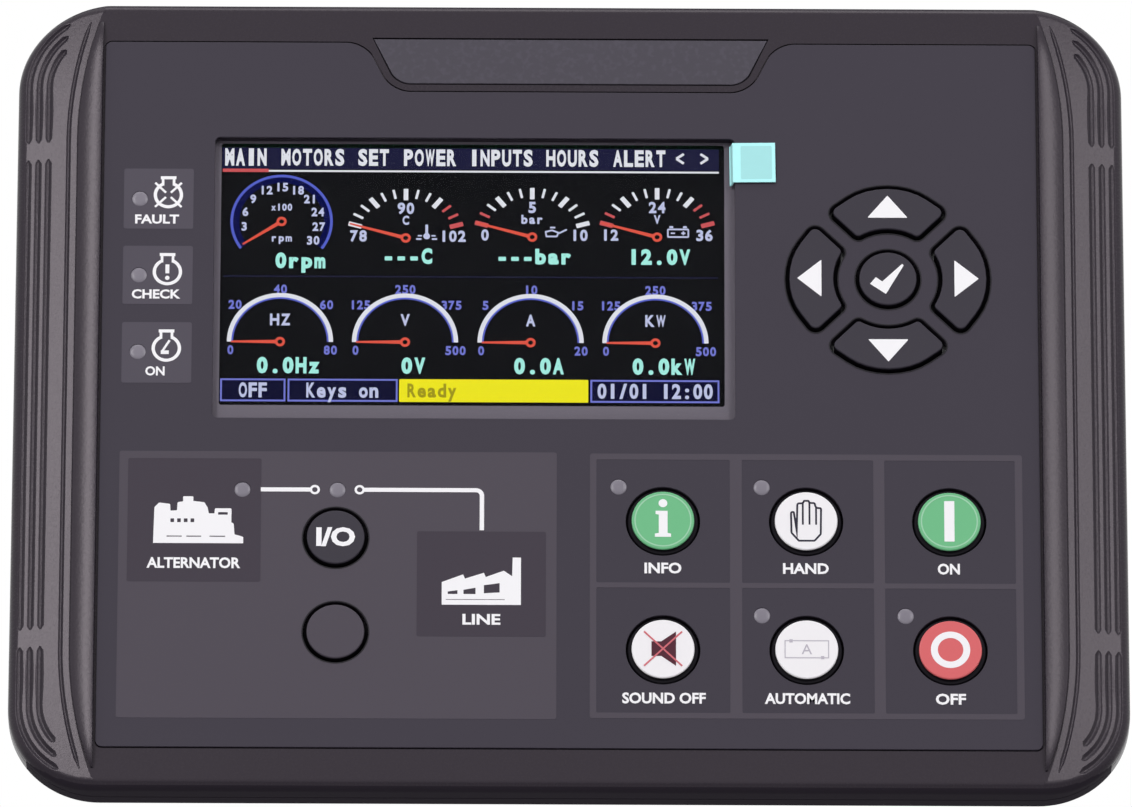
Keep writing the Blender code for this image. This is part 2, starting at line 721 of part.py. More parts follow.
def make_screen():
    clear = make_material("clear window", (0.02, 0.02, 0.025), 0.05, alpha=0.35)
    plate("display_window", screen_outline(WINDOW_LAND, 0.0), WINDOW_BACK, WINDOW_FRONT, clear)
    film = make_material("protective film", (0.75, 0.85, 0.85), 0.1, alpha=0.2)
    film_back = WINDOW_FRONT + GAP
    film_front = film_back + FILM_THICKNESS
    plate("screen_film", screen_outline(-FILM_MARGIN, SCREEN_CORNER), film_back, film_front, film)
    display = make_material("screen glass", (0.01, 0.01, 0.02), 0.2)
    plate("lcd_panel", screen_outline(-PANEL_MARGIN + WINDOW_LAND, 0.0), PANEL_BACK, PANEL_FRONT, display)
    frame = make_material("backlight frame", (0.75, 0.75, 0.75), 0.4)
    backlight = screen_outline(-BACKLIGHT_MARGIN + WINDOW_LAND, 0.0)
    plate("lcd_backlight", backlight, BOARD_FRONT + GAP, PANEL_BACK - GAP, frame)
    make_pull_tab(film_front + GAP)


def make_pull_tab(stuck_back):
    """The tab's strip: stuck on the film, up over the opening's edge, then flat on the overlay."""
    edge = SCREEN_CENTRE[0] + SCREEN_OPENING[0] / 2
    top = SCREEN_CENTRE[1] + SCREEN_OPENING[1] / 2 - TAB_DROP
    rest_back = OVERLAY_FRONT + GAP
    rise = FILM_MARGIN + GAP
    lower = [
        (edge - rise - TAB_GRIP, stuck_back),
        (edge - rise, stuck_back),
        (edge - GAP, rest_back),
        (edge + TAB_LENGTH, rest_back),
    ]
    upper = [(x - (TAB_THICKNESS if 0 < i < 3 else 0.0), d + TAB_THICKNESS) for i, (x, d) in enumerate(lower)]
    shape = bmesh.new()
    pushed(shape, [(x, -d, top - TAB_HEIGHT) for x, d in lower + upper[::-1]], (0.0, 0.0, TAB_HEIGHT))
    object_from("film_pull_tab", shape, make_material("teal tab", (0.35, 0.75, 0.68), 0.4))


def make_round_key(name, centre, hole_radius, stem_steps, top_radius, material):
    """A round key: its skirt behind the web, a stem of (radius, depth) steps, and its rounded top."""
    skirt_radius = hole_radius + SKIRT_WIDTH
    profile = [(0.0, SKIRT_BACK), (skirt_radius, SKIRT_BACK), (skirt_radius, SKIRT_FRONT)]
    profile += stem_steps
    profile += [(top_radius, KEY_TOP - KEY_EDGE), (top_radius - KEY_EDGE, KEY_TOP), (0.0, KEY_TOP)]
    turned(name, profile, centre, material)


def make_keys():
    collar, disc = COLOUR_KEY_HOLE / 2 - COLOUR_KEY_GAP, COLOUR_KEY_HOLE / 2 - COLOUR_KEY_RING
    collar_depth = OVERLAY_FRONT - COLOUR_KEY_STEP
    colour_steps = [(collar, SKIRT_FRONT), (collar, collar_depth), (disc, collar_depth)]
    for name, place, colour_name, colour in COLOUR_KEYS:
        make_round_key(name, place, COLOUR_KEY_HOLE / 2, colour_steps, disc, key_colour(colour_name, colour))
    dark_steps = [(DARK_KEY_RADIUS, SKIRT_FRONT)]
    for name, place in DARK_KEYS:
        make_round_key(name, place, DARK_KEY_HOLE / 2, dark_steps, DARK_KEY_RADIUS, key_rubber())
    for name, turns in SECTOR_KEYS:
        make_sector_key(name, turns)


def make_sector_key(name, turns):
    """A sector key: a stem that fills its hole but for a gap, on a skirt that stays behind the web."""
    shape = bmesh.new()
    stem = extruded(shape, placed(sector_outline(PAD_KEY_GAP), (0, 0), turns), SKIRT_BACK + GAP, KEY_TOP)
    bmesh.ops.bevel(
        shape, geom=list(stem.edges), offset=KEY_EDGE, segments=1, profile=0.5, affect="EDGES", material=-1
    )
    place = (PAD_CENTRE[0], 0.0, PAD_CENTRE[1])
    key = object_from(name, shape, key_rubber(), place)
    skirt = plates(f"{name}_skirt_shape", [(sector_skirt(turns), SKIRT_BACK, SKIRT_FRONT)])
    skirt.location = place
    join(key, skirt)


def sector_skirt(turns):
    """The skirt of a sector key, wider than its hole at both ends and clear of its neighbours."""
    reach = PAD_OUTER_RADIUS + SKIRT_WIDTH
    inner = PAD_INNER_RADIUS - SKIRT_WIDTH / 2
    foot = inner - SKIRT_SPOKE * math.sqrt(2)
    shoulder = foot + (reach - inner) / 2
    corners = [(foot, inner), (shoulder, shoulder + SKIRT_SPOKE * math.sqrt(2)), (foot, reach)]
    outline = corners + [(-x, z) for x, z in reversed(corners)]
    return placed(outline, (0, 0), turns)


def make_lamps():
    clear = make_material("lamp lens", (0.2, 0.19, 0.2), 0.3)
    for name, place in LAMPS:
        collar = LAMP_RADIUS + LAMP_COLLAR
        profile = [
            (0.0, BOARD_FRONT + GAP),
            (LAMP_RADIUS, BOARD_FRONT + GAP),
            (LAMP_RADIUS, SKIRT_BACK),
            (collar, SKIRT_BACK),
            (collar, SKIRT_FRONT),
            (LAMP_RADIUS, SKIRT_FRONT),
            (LAMP_RADIUS, OVERLAY_FRONT),
            (0.0, OVERLAY_FRONT),
        ]
        turned(name, profile, place, clear, SMALL_STEPS)


def make_keypad_and_board():
    rubber = make_material("mat rubber", (0.3, 0.3, 0.3), 0.8)
    half = (POCKET_HALF[0] - GAP, POCKET_HALF[1] - GAP)
    mat = plate("keypad_mat", notched_rectangle(*half, POST_SIDE), MAT_BACK, MAT_FRONT, rubber)
    depths = (MAT_BACK - CUT_PAST, MAT_FRONT + CUT_PAST)
    holes = [(circle(LAMP_RADIUS + GAP, place, SMALL_STEPS), *depths) for _, place in LAMPS]
    holes.append((screen_outline(WINDOW_LAND, 0.0), *depths))
    cut(mat, plates("mat_hole_cutter", holes))
    outline = notched_rectangle(*half, POST_SIDE)
    plate("front_board", outline, BOARD_BACK, BOARD_FRONT, board_laminate())


def make_gasket():
    foam = make_material("gasket foam", (0.02, 0.02, 0.02), 0.95)
    half_x, half_z = FRONT_HALF[0] - GASKET_INSET, FRONT_HALF[1] - GASKET_INSET
    outer = rectangle(half_x, half_z, FRONT_CORNER - GASKET_INSET, steps=RIM_STEPS)
    ring = plate("panel_gasket", outer, 0.0, GASKET_THICKNESS, foam)
    grow = GASKET_INNER_GAP
    inner = rectangle(COVER_HALF[0] + grow, COVER_HALF[1] + grow, COVER_CORNER + grow)
    cut(ring, plates("gasket_opening_cutter", [(inner, -CUT_PAST, GASKET_THICKNESS + CUT_PAST)]))


def header_half(ways):
    return (ways * TERMINAL_PITCH / 2 + TERMINAL_END, TERMINAL_HEIGHT / 2 + TERMINAL_WALL)


def make_cover():
    outline = rectangle(*COVER_HALF, COVER_CORNER)
    cover = plate("rear_cover", outline, -COVER_DEPTH, COVER_FRONT, housing_plastic())
    inside = notched_rectangle(*COVER_INNER_HALF, POST_SIDE + POCKET_STEP)
    back_wall = COVER_WALL - COVER_DEPTH
    cut(cover, plates("cover_inside_cutter", [(inside, back_wall, COVER_FRONT + CUT_PAST)]))
    through_back = (-COVER_DEPTH - CUT_PAST, back_wall + CUT_PAST)
    openings = []
    for _, place, ways in TERMINALS:
        half = header_half(ways)
        openings.append((rectangle(half[0] + GAP, half[1] + GAP, centre=place), *through_back))
    for place, (width, height, _) in ((USB_PLACE, USB_SOCKET), (NETWORK_PLACE, NETWORK_SOCKET)):
        grow = SOCKET_WALL + GAP
        openings.append((rectangle(width / 2 + grow, height / 2 + grow, centre=place), *through_back))
    for place in VENT_PLACES:
        for index in range(VENT_COUNT):
            shift = (index - (VENT_COUNT - 1) / 2) * VENT_PITCH
            slot = rectangle(VENT_SIZE[0] / 2, VENT_SIZE[1] / 2, centre=(place[0] + shift, place[1]))
            openings.append((slot, *through_back))
    cut(cover, plates("cover_opening_cutter", openings))
    head_seat = COVER_FRONT - SCREW_GRIP
    cut(cover, screw_cutter("screw_well_cutter", SCREW_HEAD_RADIUS, -COVER_DEPTH - CUT_PAST, head_seat))
    cut(cover, screw_cutter("screw_hole_cutter", SCREW_RADIUS, head_seat - CUT_PAST, COVER_FRONT + CUT_PAST))
    cut(cover, clip_slot_cutter())


def screw_places():
    return [(sx * POST_CENTRE[0], sz * POST_CENTRE[1]) for sx in (-1, 1) for sz in (-1, 1)]


def screw_cutter(name, radius, back, front):
    """Round cutters at the four cover screws, each with a gap round its screw."""
    return plates(name, [(circle(radius + GAP, place, SMALL_STEPS), back, front) for place in screw_places()])


def clip_hook_back():
    return CLIP_START + CLIP_LENGTH


def box_into(shape, low, high):
    """Adds a box between two corners to a bmesh."""
    size = [h - l for l, h in zip(low, high)]
    middle = [(h + l) / 2 for l, h in zip(low, high)]
    matrix = Matrix.Translation(middle) @ Matrix.Diagonal((*size, 1.0))
    bmesh.ops.create_cube(shape, size=1.0, matrix=matrix)


def clip_slot_cutter():
    """Slots in the housing's side walls, where the clips hook in."""
    shape = bmesh.new()
    for place in CLIP_PLACES_Z:
        for sx in (-1, 1):
            ends = sorted((sx * (COVER_INNER_HALF[0] - CUT_PAST), sx * (COVER_HALF[0] + CUT_PAST)))
            half = CLIP_WIDTH / 2 + GAP
            start = clip_hook_back() - CLIP_HOOK_LENGTH - GAP
            box_into(shape, (ends[0], start, place - half), (ends[1], clip_hook_back() + GAP, place + half))
    return object_from("clip_slot_cutter", shape, None)


def make_cover_screws():
    for number, place in enumerate(screw_places(), 1):
        seat = COVER_FRONT - SCREW_GRIP - GAP
        profile = [
            (0.0, seat - SCREW_HEAD_HEIGHT + SCREW_DRIVE_DEPTH),
            (SCREW_DRIVE_RADIUS, seat - SCREW_HEAD_HEIGHT + SCREW_DRIVE_DEPTH),
            (SCREW_DRIVE_RADIUS, seat - SCREW_HEAD_HEIGHT),
            (SCREW_HEAD_RADIUS, seat - SCREW_HEAD_HEIGHT),
            (SCREW_HEAD_RADIUS, seat),
            (SCREW_RADIUS, seat),
            (SCREW_RADIUS, RIM_BACK + SCREW_BITE - SCREW_RADIUS),
            (0.0, RIM_BACK + SCREW_BITE - GAP),
        ]
        turned(f"cover_screw_{number}", profile, place, zinc_plated(), SMALL_STEPS)


def make_clips():
    number = 0
    for place in CLIP_PLACES_Z:
        for sx in (-1, 1):
            number += 1
            make_clip(f"mounting_clip_{number}", place, sx)
            make_clip_screw(f"clip_screw_{number}", place, sx)


def clip_screw_reach():
    return COVER_HALF[0] + GAP + CLIP_HEIGHT - CLIP_SCREW_RADIUS - 3 * CLIP_THICKNESS / 2


def make_clip(name, place, sx):
    """A folded clip: its foot on the housing, an upright towards the panel, and a hook in the slot."""
    foot_low = COVER_HALF[0] + GAP
    foot_high = foot_low + CLIP_THICKNESS
    top = foot_low + CLIP_HEIGHT
    start, end = CLIP_START, clip_hook_back()
    outline = [
        (start, foot_low),
        (end - CLIP_THICKNESS, foot_low),
        (end - CLIP_THICKNESS, foot_low - CLIP_HOOK_REACH),
        (end, foot_low - CLIP_HOOK_REACH),
        (end, foot_high),
        (start + CLIP_THICKNESS, foot_high),
        (start + CLIP_THICKNESS, top),
        (start, top),
    ]
    shape = bmesh.new()
    pushed(shape, [(sx * x, y, place - CLIP_WIDTH / 2) for y, x in outline], (0.0, 0.0, CLIP_WIDTH))
    clip = object_from(name, shape, zinc_plated())
    hole = circle(CLIP_SCREW_RADIUS + GAP, (sx * clip_screw_reach(), place), SMALL_STEPS)
    depths = (-start - CLIP_THICKNESS - CUT_PAST, -start + CUT_PAST)
    cut(clip, plates(f"{name}_hole_cutter", [(hole, *depths)]))


def make_clip_screw(name, place, sx):
    tip = -CLIP_PANEL - GAP
    head = tip - CLIP_SCREW_LENGTH
    profile = [
        (0.0, head + SCREW_DRIVE_DEPTH),
        (SCREW_DRIVE_RADIUS, head + SCREW_DRIVE_DEPTH),
        (SCREW_DRIVE_RADIUS, head),
        (CLIP_SCREW_HEAD_RADIUS, head),
        (CLIP_SCREW_HEAD_RADIUS, head + CLIP_SCREW_HEAD),
        (CLIP_SCREW_RADIUS, head + CLIP_SCREW_HEAD),
        (CLIP_SCREW_RADIUS, tip - GAP),
        (CLIP_SCREW_RADIUS - GAP, tip),
        (0.0, tip),
    ]
    turned(name, profile, (sx * clip_screw_reach(), place), zinc_plated(), SMALL_STEPS)


def make_main_board():
    half = (COVER_INNER_HALF[0] - GAP, COVER_INNER_HALF[1] - GAP)
    outline = notched_rectangle(*half, POST_SIDE + POCKET_STEP)
    back = -MAIN_BOARD_BACK - BOARD_THICKNESS
    plate("main_board", outline, back, -MAIN_BOARD_BACK, board_laminate())


def make_terminals():
    board = -MAIN_BOARD_BACK - BOARD_THICKNESS - GAP
    for number, place, ways in TERMINALS:
        half = header_half(ways)
        end = board - HEADER_REACH
        header = plate(f"terminal_header_{number}", rectangle(*half, centre=place), end, board, terminal_plastic())
        nose = (half[0] - TERMINAL_WALL, half[1] - TERMINAL_WALL)
        socket = rectangle(*nose, centre=place)
        floor = board - HEADER_FLOOR
        cut(header, plates(f"header_socket_cutter_{number}", [(socket, end - CUT_PAST, floor)]))
        body = rectangle(nose[0] - GAP, nose[1] - GAP, centre=place)
        plug_end = -COVER_DEPTH - PLUG_REACH
        plug = plate(f"terminal_plug_{number}", body, plug_end, floor - GAP, terminal_plastic())
        holes = []
        for way in range(ways):
            shift = (way - (ways - 1) / 2) * TERMINAL_PITCH
            hole = rectangle(WIRE_HOLE[0] / 2, WIRE_HOLE[1] / 2, centre=(place[0] + shift, place[1]))
            holes.append((hole, plug_end - CUT_PAST, plug_end + WIRE_HOLE_DEPTH))
        cut(plug, plates(f"wire_hole_cutter_{number}", holes))


def make_socket(name, place, inner, material):
    """A socket that stands on the main board and opens through the housing's back."""
    width, height, depth = inner
    board = -MAIN_BOARD_BACK - BOARD_THICKNESS - GAP
    mouth = -COVER_DEPTH - SOCKET_PROUD
    outer = rectangle(width / 2 + SOCKET_WALL, height / 2 + SOCKET_WALL, centre=place)
    socket = plate(name, outer, mouth, board, material)
    opening = rectangle(width / 2, height / 2, centre=place)
    cut(socket, plates(f"{name}_cutter", [(opening, mouth - CUT_PAST, mouth + depth)]))


def make_ribbon():
    """The flat cable between the boards, with one easy bend."""
    start = -BOARD_BACK + GAP
    end = MAIN_BOARD_BACK - GAP
    x, z = RIBBON_PLACE
    line = []
    for step in range(RIBBON_STEPS + 1):
        part = step / RIBBON_STEPS
        line.append((start + (end - start) * part, z + RIBBON_SWAY * math.sin(math.pi * part) ** 2))
    half = RIBBON_THICKNESS / 2
    ring_points = [(y, h - half) for y, h in line] + [(y, h + half) for y, h in reversed(line)]
    shape = bmesh.new()
    pushed(shape, [(x - RIBBON_WIDTH / 2, y, h) for y, h in ring_points], (RIBBON_WIDTH, 0.0, 0.0))
    object_from("ribbon_cable", shape, make_material("ribbon grey", (0.5, 0.5, 0.5), 0.6))


def make_battery():
    front = GAP - MAIN_BOARD_BACK
    profile = [(0.0, front), (BATTERY_RADIUS, front), (BATTERY_RADIUS, front + BATTERY_THICKNESS)]
    profile.append((0.0, front + BATTERY_THICKNESS))
    turned("clock_battery", profile, BATTERY_PLACE, zinc_plated())


def main():
    clear_scene()
    make_bezel()
    make_overlay()
    make_name_plate()
    make_screen()
    make_keys()
    make_lamps()
    make_keypad_and_board()
    make_gasket()
    make_cover()
    make_cover_screws()
    make_clips()
    make_main_board()
    make_terminals()
    port_metal = make_material("socket shell", (0.7, 0.7, 0.68), 0.3, metallic=1.0)
    make_socket("usb_port", USB_PLACE, USB_SOCKET, port_metal)
    make_socket("network_port", NETWORK_PLACE, NETWORK_SOCKET, port_metal)
    make_ribbon()
    make_battery()


main()
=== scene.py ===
"""Generator controller: the looks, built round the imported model.

Pieces are drawn in millimetres as (x, up, depth), where depth runs from the panel towards the user, and are
turned into the row frame when they are finished.
"""

import math

import bmesh
import bpy
from bpy.props import FloatProperty, FloatVectorProperty, PointerProperty
from mathutils import Matrix, Quaternion, Vector


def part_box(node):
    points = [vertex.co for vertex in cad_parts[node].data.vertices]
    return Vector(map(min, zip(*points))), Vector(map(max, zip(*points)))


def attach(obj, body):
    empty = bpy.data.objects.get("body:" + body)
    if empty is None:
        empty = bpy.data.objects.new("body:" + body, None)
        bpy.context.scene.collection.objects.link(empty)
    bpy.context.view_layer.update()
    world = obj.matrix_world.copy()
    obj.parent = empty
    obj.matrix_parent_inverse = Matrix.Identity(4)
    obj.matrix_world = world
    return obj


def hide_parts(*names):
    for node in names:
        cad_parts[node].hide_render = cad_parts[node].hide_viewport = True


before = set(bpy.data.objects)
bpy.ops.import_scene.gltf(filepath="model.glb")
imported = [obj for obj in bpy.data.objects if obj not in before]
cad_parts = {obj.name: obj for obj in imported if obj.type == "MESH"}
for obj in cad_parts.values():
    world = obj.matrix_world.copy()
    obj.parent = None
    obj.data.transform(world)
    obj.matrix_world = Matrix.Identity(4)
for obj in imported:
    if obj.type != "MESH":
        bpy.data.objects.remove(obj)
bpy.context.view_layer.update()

bl_info = {
    "name": "Generator controller",
    "version": (1, 0, 0),
    "blender": (4, 5, 0),
    "location": "3D View > Sidebar > Controller",
    "description": "Builds the finished look of a panel-mount generator controller",
    "category": "Object",
}

MM = 0.001
TO_FRAME = Matrix.Rotation(math.radians(90), 4, "X") @ Matrix.Scale(MM, 4)
GAP = 0.3
CUT_PAST = 1.0
BUMP_HEIGHT = 0.0001
INK_HAIR = 0.0015
HAIR_LEVELS = 8


def extent(node):
    """A CAD node's lowest and highest corners as (x, up, depth), in millimetres."""
    low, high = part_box(node)
    return Vector((low.x, low.z, -high.y)) / MM, Vector((high.x, high.z, -low.y)) / MM


def middle(node):
    low, high = extent(node)
    return (low + high) / 2


# Front moulding
RIM_LOW, RIM_HIGH = extent("front_bezel")
RIM_HALF = (RIM_HIGH.x, RIM_HIGH.y)
RIM_BACK = RIM_LOW.z
RIM_CORNER = 20.0
RIM_CORNER_STEPS = 24
FACE_DEPTH = extent("name_plate")[1].z
FLANK_START = 108.0
FLANK_EDGE_DEPTH = 8.0
SEAM_DEPTH = 5.2
SEAM_HALF = 0.22
WALL_FACING = 0.6
FLAT_ENOUGH = math.radians(2)
FLAT_TURN = math.radians(5)
FLANK_BANDS = 14
RIDGE_INNER = 102.4
RIDGE_WIDTH = 5.5
RIDGE_RISE = RIM_HIGH.z - FACE_DEPTH
RIDGE_CREST = 0.3
RIDGE_CREST_TILT = math.radians(6)
RIDGE_FOOT = 0.35
RIDGE_FOOT_TILT = math.radians(24)
RIDGE_FOOT_STEPS = 6
RIDGE_ARC_SHARE = 0.8
RIDGE_SINK = 0.3
RIDGE_STRAIGHT = 60.0
RIDGE_TIP = 88.4
RIDGE_TIP_WIDTH = 0.4
RIDGE_TIP_RISE = 0.15
RIDGE_ROOT = 1.2
RIDGE_CURVE = 92.0
RIDGE_STATIONS = 18
RIDGE_STEPS = 12
GROOVE_INSETS = (2.4, 4.6, 6.8)
GROOVE_END_ANGLES = (60, 53, 43)
GROOVE_SPLIT = 57.7
GROOVE_BRIDGE = 3.9
GROOVE_STEPS = 14
GROOVE_TURNS = 16
GROOVE_END_SHARE = 0.3
GROOVE_LIFT = 0.04
GROOVE_EASE = 1.0
BORDER_GROOVE = 109.8
BORDER_GROOVE_TOP = 88.5
BORDER_STATIONS = 32

# Overlay and name plate, and what they sit in
OVERLAY_LOW, OVERLAY_HIGH = extent("face_overlay")
OVERLAY_CORNER = 1.5
RECESS_FLOOR = OVERLAY_LOW.z - GAP
PLATE_LOW, PLATE_HIGH = extent("name_plate")
PLATE_BOTTOM_HALF = 38.0
PLATE_CORNER = 4.5
PLATE_EDGE = 0.22
NOTCH_RIM = 2.1
NOTCH_CORNER = 6.5
WEB_BACK = RECESS_FLOOR - 2.4
MAT_HIGH = extent("keypad_mat")[1]
POCKET_HALF = (MAT_HIGH.x + GAP, MAT_HIGH.y + GAP)
POST_SIDE = 8.6
POST_CENTRE = (POCKET_HALF[0] - POST_SIDE / 2, POCKET_HALF[1] - POST_SIDE / 2)
PILOT_RADIUS = 1.8
PILOT_DEPTH = 5.0

# Screen
WINDOW_LOW, WINDOW_HIGH = extent("display_window")
WINDOW_LAND = 2.2
WINDOW_EDGE = 0.15
OPENING_LOW = (WINDOW_LOW.x + WINDOW_LAND, WINDOW_LOW.y + WINDOW_LAND)
OPENING_HIGH = (WINDOW_HIGH.x - WINDOW_LAND, WINDOW_HIGH.y - WINDOW_LAND)
OPENING_CORNER = 1.2
LIP_BACK = WINDOW_HIGH.z + GAP
BORDER_LOW = (-76.3, -2.3)
BORDER_HIGH = (33.7, 60.1)
LCD_FRONT = extent("lcd_panel")[1].z
PICTURE_LEFT = -76.3
PICTURE_TOP = 60.8
PICTURE_PIXEL = 0.2292
PICTURE_WIDTH = 480
TAB_LOW, TAB_HIGH = extent("film_pull_tab")
TAB_TURN = math.radians(0.7)
TAB_PAST = 0.5
TAB_THICKNESS = 0.25
TAB_INSET = 0.75

# Keys and lamps
KEY_TOP = extent("key_info")[1].z - 0.4
KEY_CAP = 0.4
SKIRT_FRONT = WEB_BACK - GAP
SKIRT_BACK = SKIRT_FRONT - 1.0
SKIRT_WIDTH = 1.1
SKIRT_SPOKE = 3.6
COLOUR_KEY_HOLE = 8.05
COLOUR_KEY_COLLAR = 7.65
COLOUR_KEY_DISC = 6.8
COLOUR_KEY_STEP = 0.5
DARK_KEY_HOLE = 7.1
DARK_KEY_RADIUS = 6.25
BLACK_RING = 0.25
LAMP_HOLE = 1.8
LAMP_RADIUS = 1.5
LAMP_FRONT_RADIUS = 1.77
LAMP_FLANGE = 1.0
PAD_INNER = 11.0
PAD_OUTER = 22.6
PAD_SPOKE = 1.5
PAD_SLOPE = math.radians(36)
PAD_BROW = 15.3
PAD_CORNER = 2.4
PAD_HEEL = 1.9
PAD_KEY_GAP = 0.9
PAD_ARC_STEPS = 10
PAD_CENTRE = middle("key_enter")
SECTOR_KEYS = ("up", "left", "down", "right")
DARK_KEYS = ("changeover", "blank", "enter")
COLOUR_KEYS = {
    "info": "green_key",
    "manual": "white_key",
    "start": "green_key",
    "mute": "white_key",
    "auto": "white_key",
    "stop": "red_key",
}
LAMPS = ("alarm", "warning", "running", "generator", "contactor", "info", "manual", "auto", "stop")

# Rear housing, its vents, screws and clips
COVER_LOW, COVER_HIGH = extent("rear_cover")
COVER_CORNER = 4.0
COVER_WALL = 2.2
COVER_EDGE = 1.0
POCKET_STEP = 2.3
VENT_CENTRES = (-62.0, 62.0)
SCREW_SEAT = 1.9
VENT_COUNT = 6
VENT_PITCH = 6.0
VENT_HALF = (1.2, 9.0)
SOCKET_GROW = 0.3
SCREW_HEAD_RADIUS = 2.8
SCREW_RADIUS = 1.5
CLIP_WIDTH = 14.0
CLIP_THICKNESS = 1.6
CLIP_HOOK_LENGTH = 5.0
CLIP_BEND = 1.2
CLIP_SCREW_HEAD = 2.8
CLIP_SCREW_RADIUS = 2.0
THREAD_PITCH = 0.7
THREAD_DEPTH = 0.28
DRIVE_DEPTH = 1.1

# Terminals and sockets
TERMINAL_WAYS = (12, 10, 12, 10)
TERMINAL_PITCH = 5.08
WIRE_HOLE = (1.4, 1.6)
WIRE_HOLE_DEPTH = 6.0
CLAMP_UP = 2.9
CLAMP_RADIUS = 0.95

# Printed fields on the overlay: lowest x, lowest height, highest x, highest height
ZONE_FIELD = (-97.6, -76.8, -2.8, -14.3)
GRID_FRAME = (4.4, -76.5, 98.1, -14.5)
GRID_COLUMNS = ((5.8, 34.7), (37.3, 65.8), (68.2, 96.5))
GRID_ROWS = ((-75.2, -46.0), (-44.8, -15.9))
DARK_TILES = ((-95.7, -45.0, -66.8, -16.0), (-33.0, -57.6, -5.1, -33.0))
LAMP_TILES = tuple((-97.5, low, -82.3, high) for low, high in ((38.5, 52.9), (20.5, 34.4), (1.8, 16.2)))
CAPITAL = 2.3
LABELS = (
    ("ALTERNATOR", -81.3, -40.6, 20.3),
    ("LINE", -19.0, -53.6, 8.2),
    ("INFO", 20.2, -41.4, 8.0),
    ("HAND", 51.1, -41.4, 9.9),
    ("ON", 82.0, -41.4, 4.8),
    ("SOUND OFF", 20.4, -71.8, 18.0),
    ("AUTOMATIC", 51.3, -71.8, 18.4),
    ("OFF", 82.2, -71.8, 6.5),
)
LAMP_LABELS = (("FAULT", 40.8, 9.6), ("CHECK", 22.9, 10.6), ("ON", 4.6, 4.2))
LAMP_LABEL_X = -90.2
ENGINE_X = -87.8
ENGINE_HEIGHTS = (46.6, 28.2, 10.0)
ENGINE_RADIUS = 2.85
ENGINE_LINE = 0.72
CIRCUIT_HEIGHT = middle("lamp_contactor").y
CIRCUIT_LINE = 0.95
CIRCUIT_NODES = (-55.2, -45.5)
CIRCUIT_START = -66.9
CIRCUIT_TURN = -19.0
CIRCUIT_END = -32.7
CAMERA_TARGET = (-0.83, -10.7, -2.69)
LIGHT_LEVEL = 0.85
LIGHT_FALL = 0.5
SOFTBOXES = {
    "left": ((0.4, 0.9), -28, 20, 2.0),
    "right": ((0.55, 0.9), 32, 20, 2.0),
    "top": ((1.4, 0.8), 0, 68, 2.2),
}
FLOOR_RADIUS = 9000.0
FLOOR_DROP = 1.62
FLOOR_LIFT = 0.3
GENSET_PLACE = (-90.3, -36.0)
FACTORY_PLACE = (-27.6, -50.2)


def paint(red, green, blue):
    """A colour on the 0 to 255 scale, as the linear values that a material takes."""
    shares = (red / 255, green / 255, blue / 255)
    return tuple(s / 12.92 if s <= 0.04045 else ((s + 0.055) / 1.055) ** 2.4 for s in shares)


# Settings that a user may change


def length(name, description, default):
    return FloatProperty(
        name=name, description=description, default=default, unit="LENGTH", min=0.0, precision=5
    )


def angle(name, description, degrees):
    return FloatProperty(name=name, description=description, default=math.radians(degrees), subtype="ANGLE")


def level(name, description, default, least=0.0):
    return FloatProperty(name=name, description=description, default=default, min=least)


def colour(name, description, default):
    return FloatVectorProperty(
        name=name, description=description, default=default, subtype="COLOR", size=3, min=0.0, max=1.0
    )


class ControllerSizes(bpy.types.PropertyGroup):
    """Sizes of the finished surface."""

    print_thickness: length("Print thickness", "Height of the ink over the face", 0.00004)
    rim_round: length("Rim round", "Radius of the rim's front edge", 0.0022)
    overlay_edge: length("Overlay edge", "Width of the overlay's worked edge", 0.00012)
    key_edge: length("Key edge", "Radius of the edge of a key's cap", 0.0003)
    groove_depth: length("Groove depth", "Depth of the grip grooves", 0.0005)
    groove_reach: length("Groove reach", "From a groove's middle to the end of its shoulder", 0.00095)
    grain_size: length("Grain size", "Size of the moulded grain", 0.0006)


class ControllerColours(bpy.types.PropertyGroup):
    """Colours of the finished surface."""

    moulding: colour("Moulding", "Front moulding", paint(40, 35, 43))
    overlay: colour("Overlay", "Printed face", paint(55, 50, 61))
    zone_field: colour("Zone field", "Lighter fields and grid lines of the print", paint(73, 67, 77))
    dark_tile: colour("Dark tile", "Dark tiles of the print", paint(58, 51, 62))
    lamp_tile: colour("Lamp tile", "Tiles behind the lamp symbols", paint(76, 71, 82))
    white_print: colour("White print", "Lettering and symbols", paint(244, 242, 246))
    name_plate: colour("Name plate", "Blank name plate", paint(66, 62, 72))
    key_rubber: colour("Key rubber", "Tops of the dark keys", paint(50, 46, 56))
    # Near black: the keys' dark rubber, and also painted shade, so that key sides, collars and the lines
    # round the dark keys read as the dark gap round each key.
    key_side: colour("Key side", "Key sides, collars and the lines round the dark keys", paint(20, 17, 24))
    green_key: colour("Green key", "Start and information keys", paint(107, 184, 132))
    white_key: colour("White key", "Manual, automatic and mute keys", paint(240, 237, 241))
    red_key: colour("Red key", "Stop key", paint(214, 98, 102))
    lamp_lens: colour("Lamp lens", "Unlit lamp windows", paint(126, 121, 132))
    pull_tab: colour("Pull tab", "Tab of the protective film", paint(168, 228, 230))
    housing: colour("Housing", "Rear housing", paint(44, 42, 46))
    terminal: colour("Terminal", "Pluggable terminals", paint(34, 128, 72))
    board: colour("Board", "Circuit boards", paint(18, 84, 48))


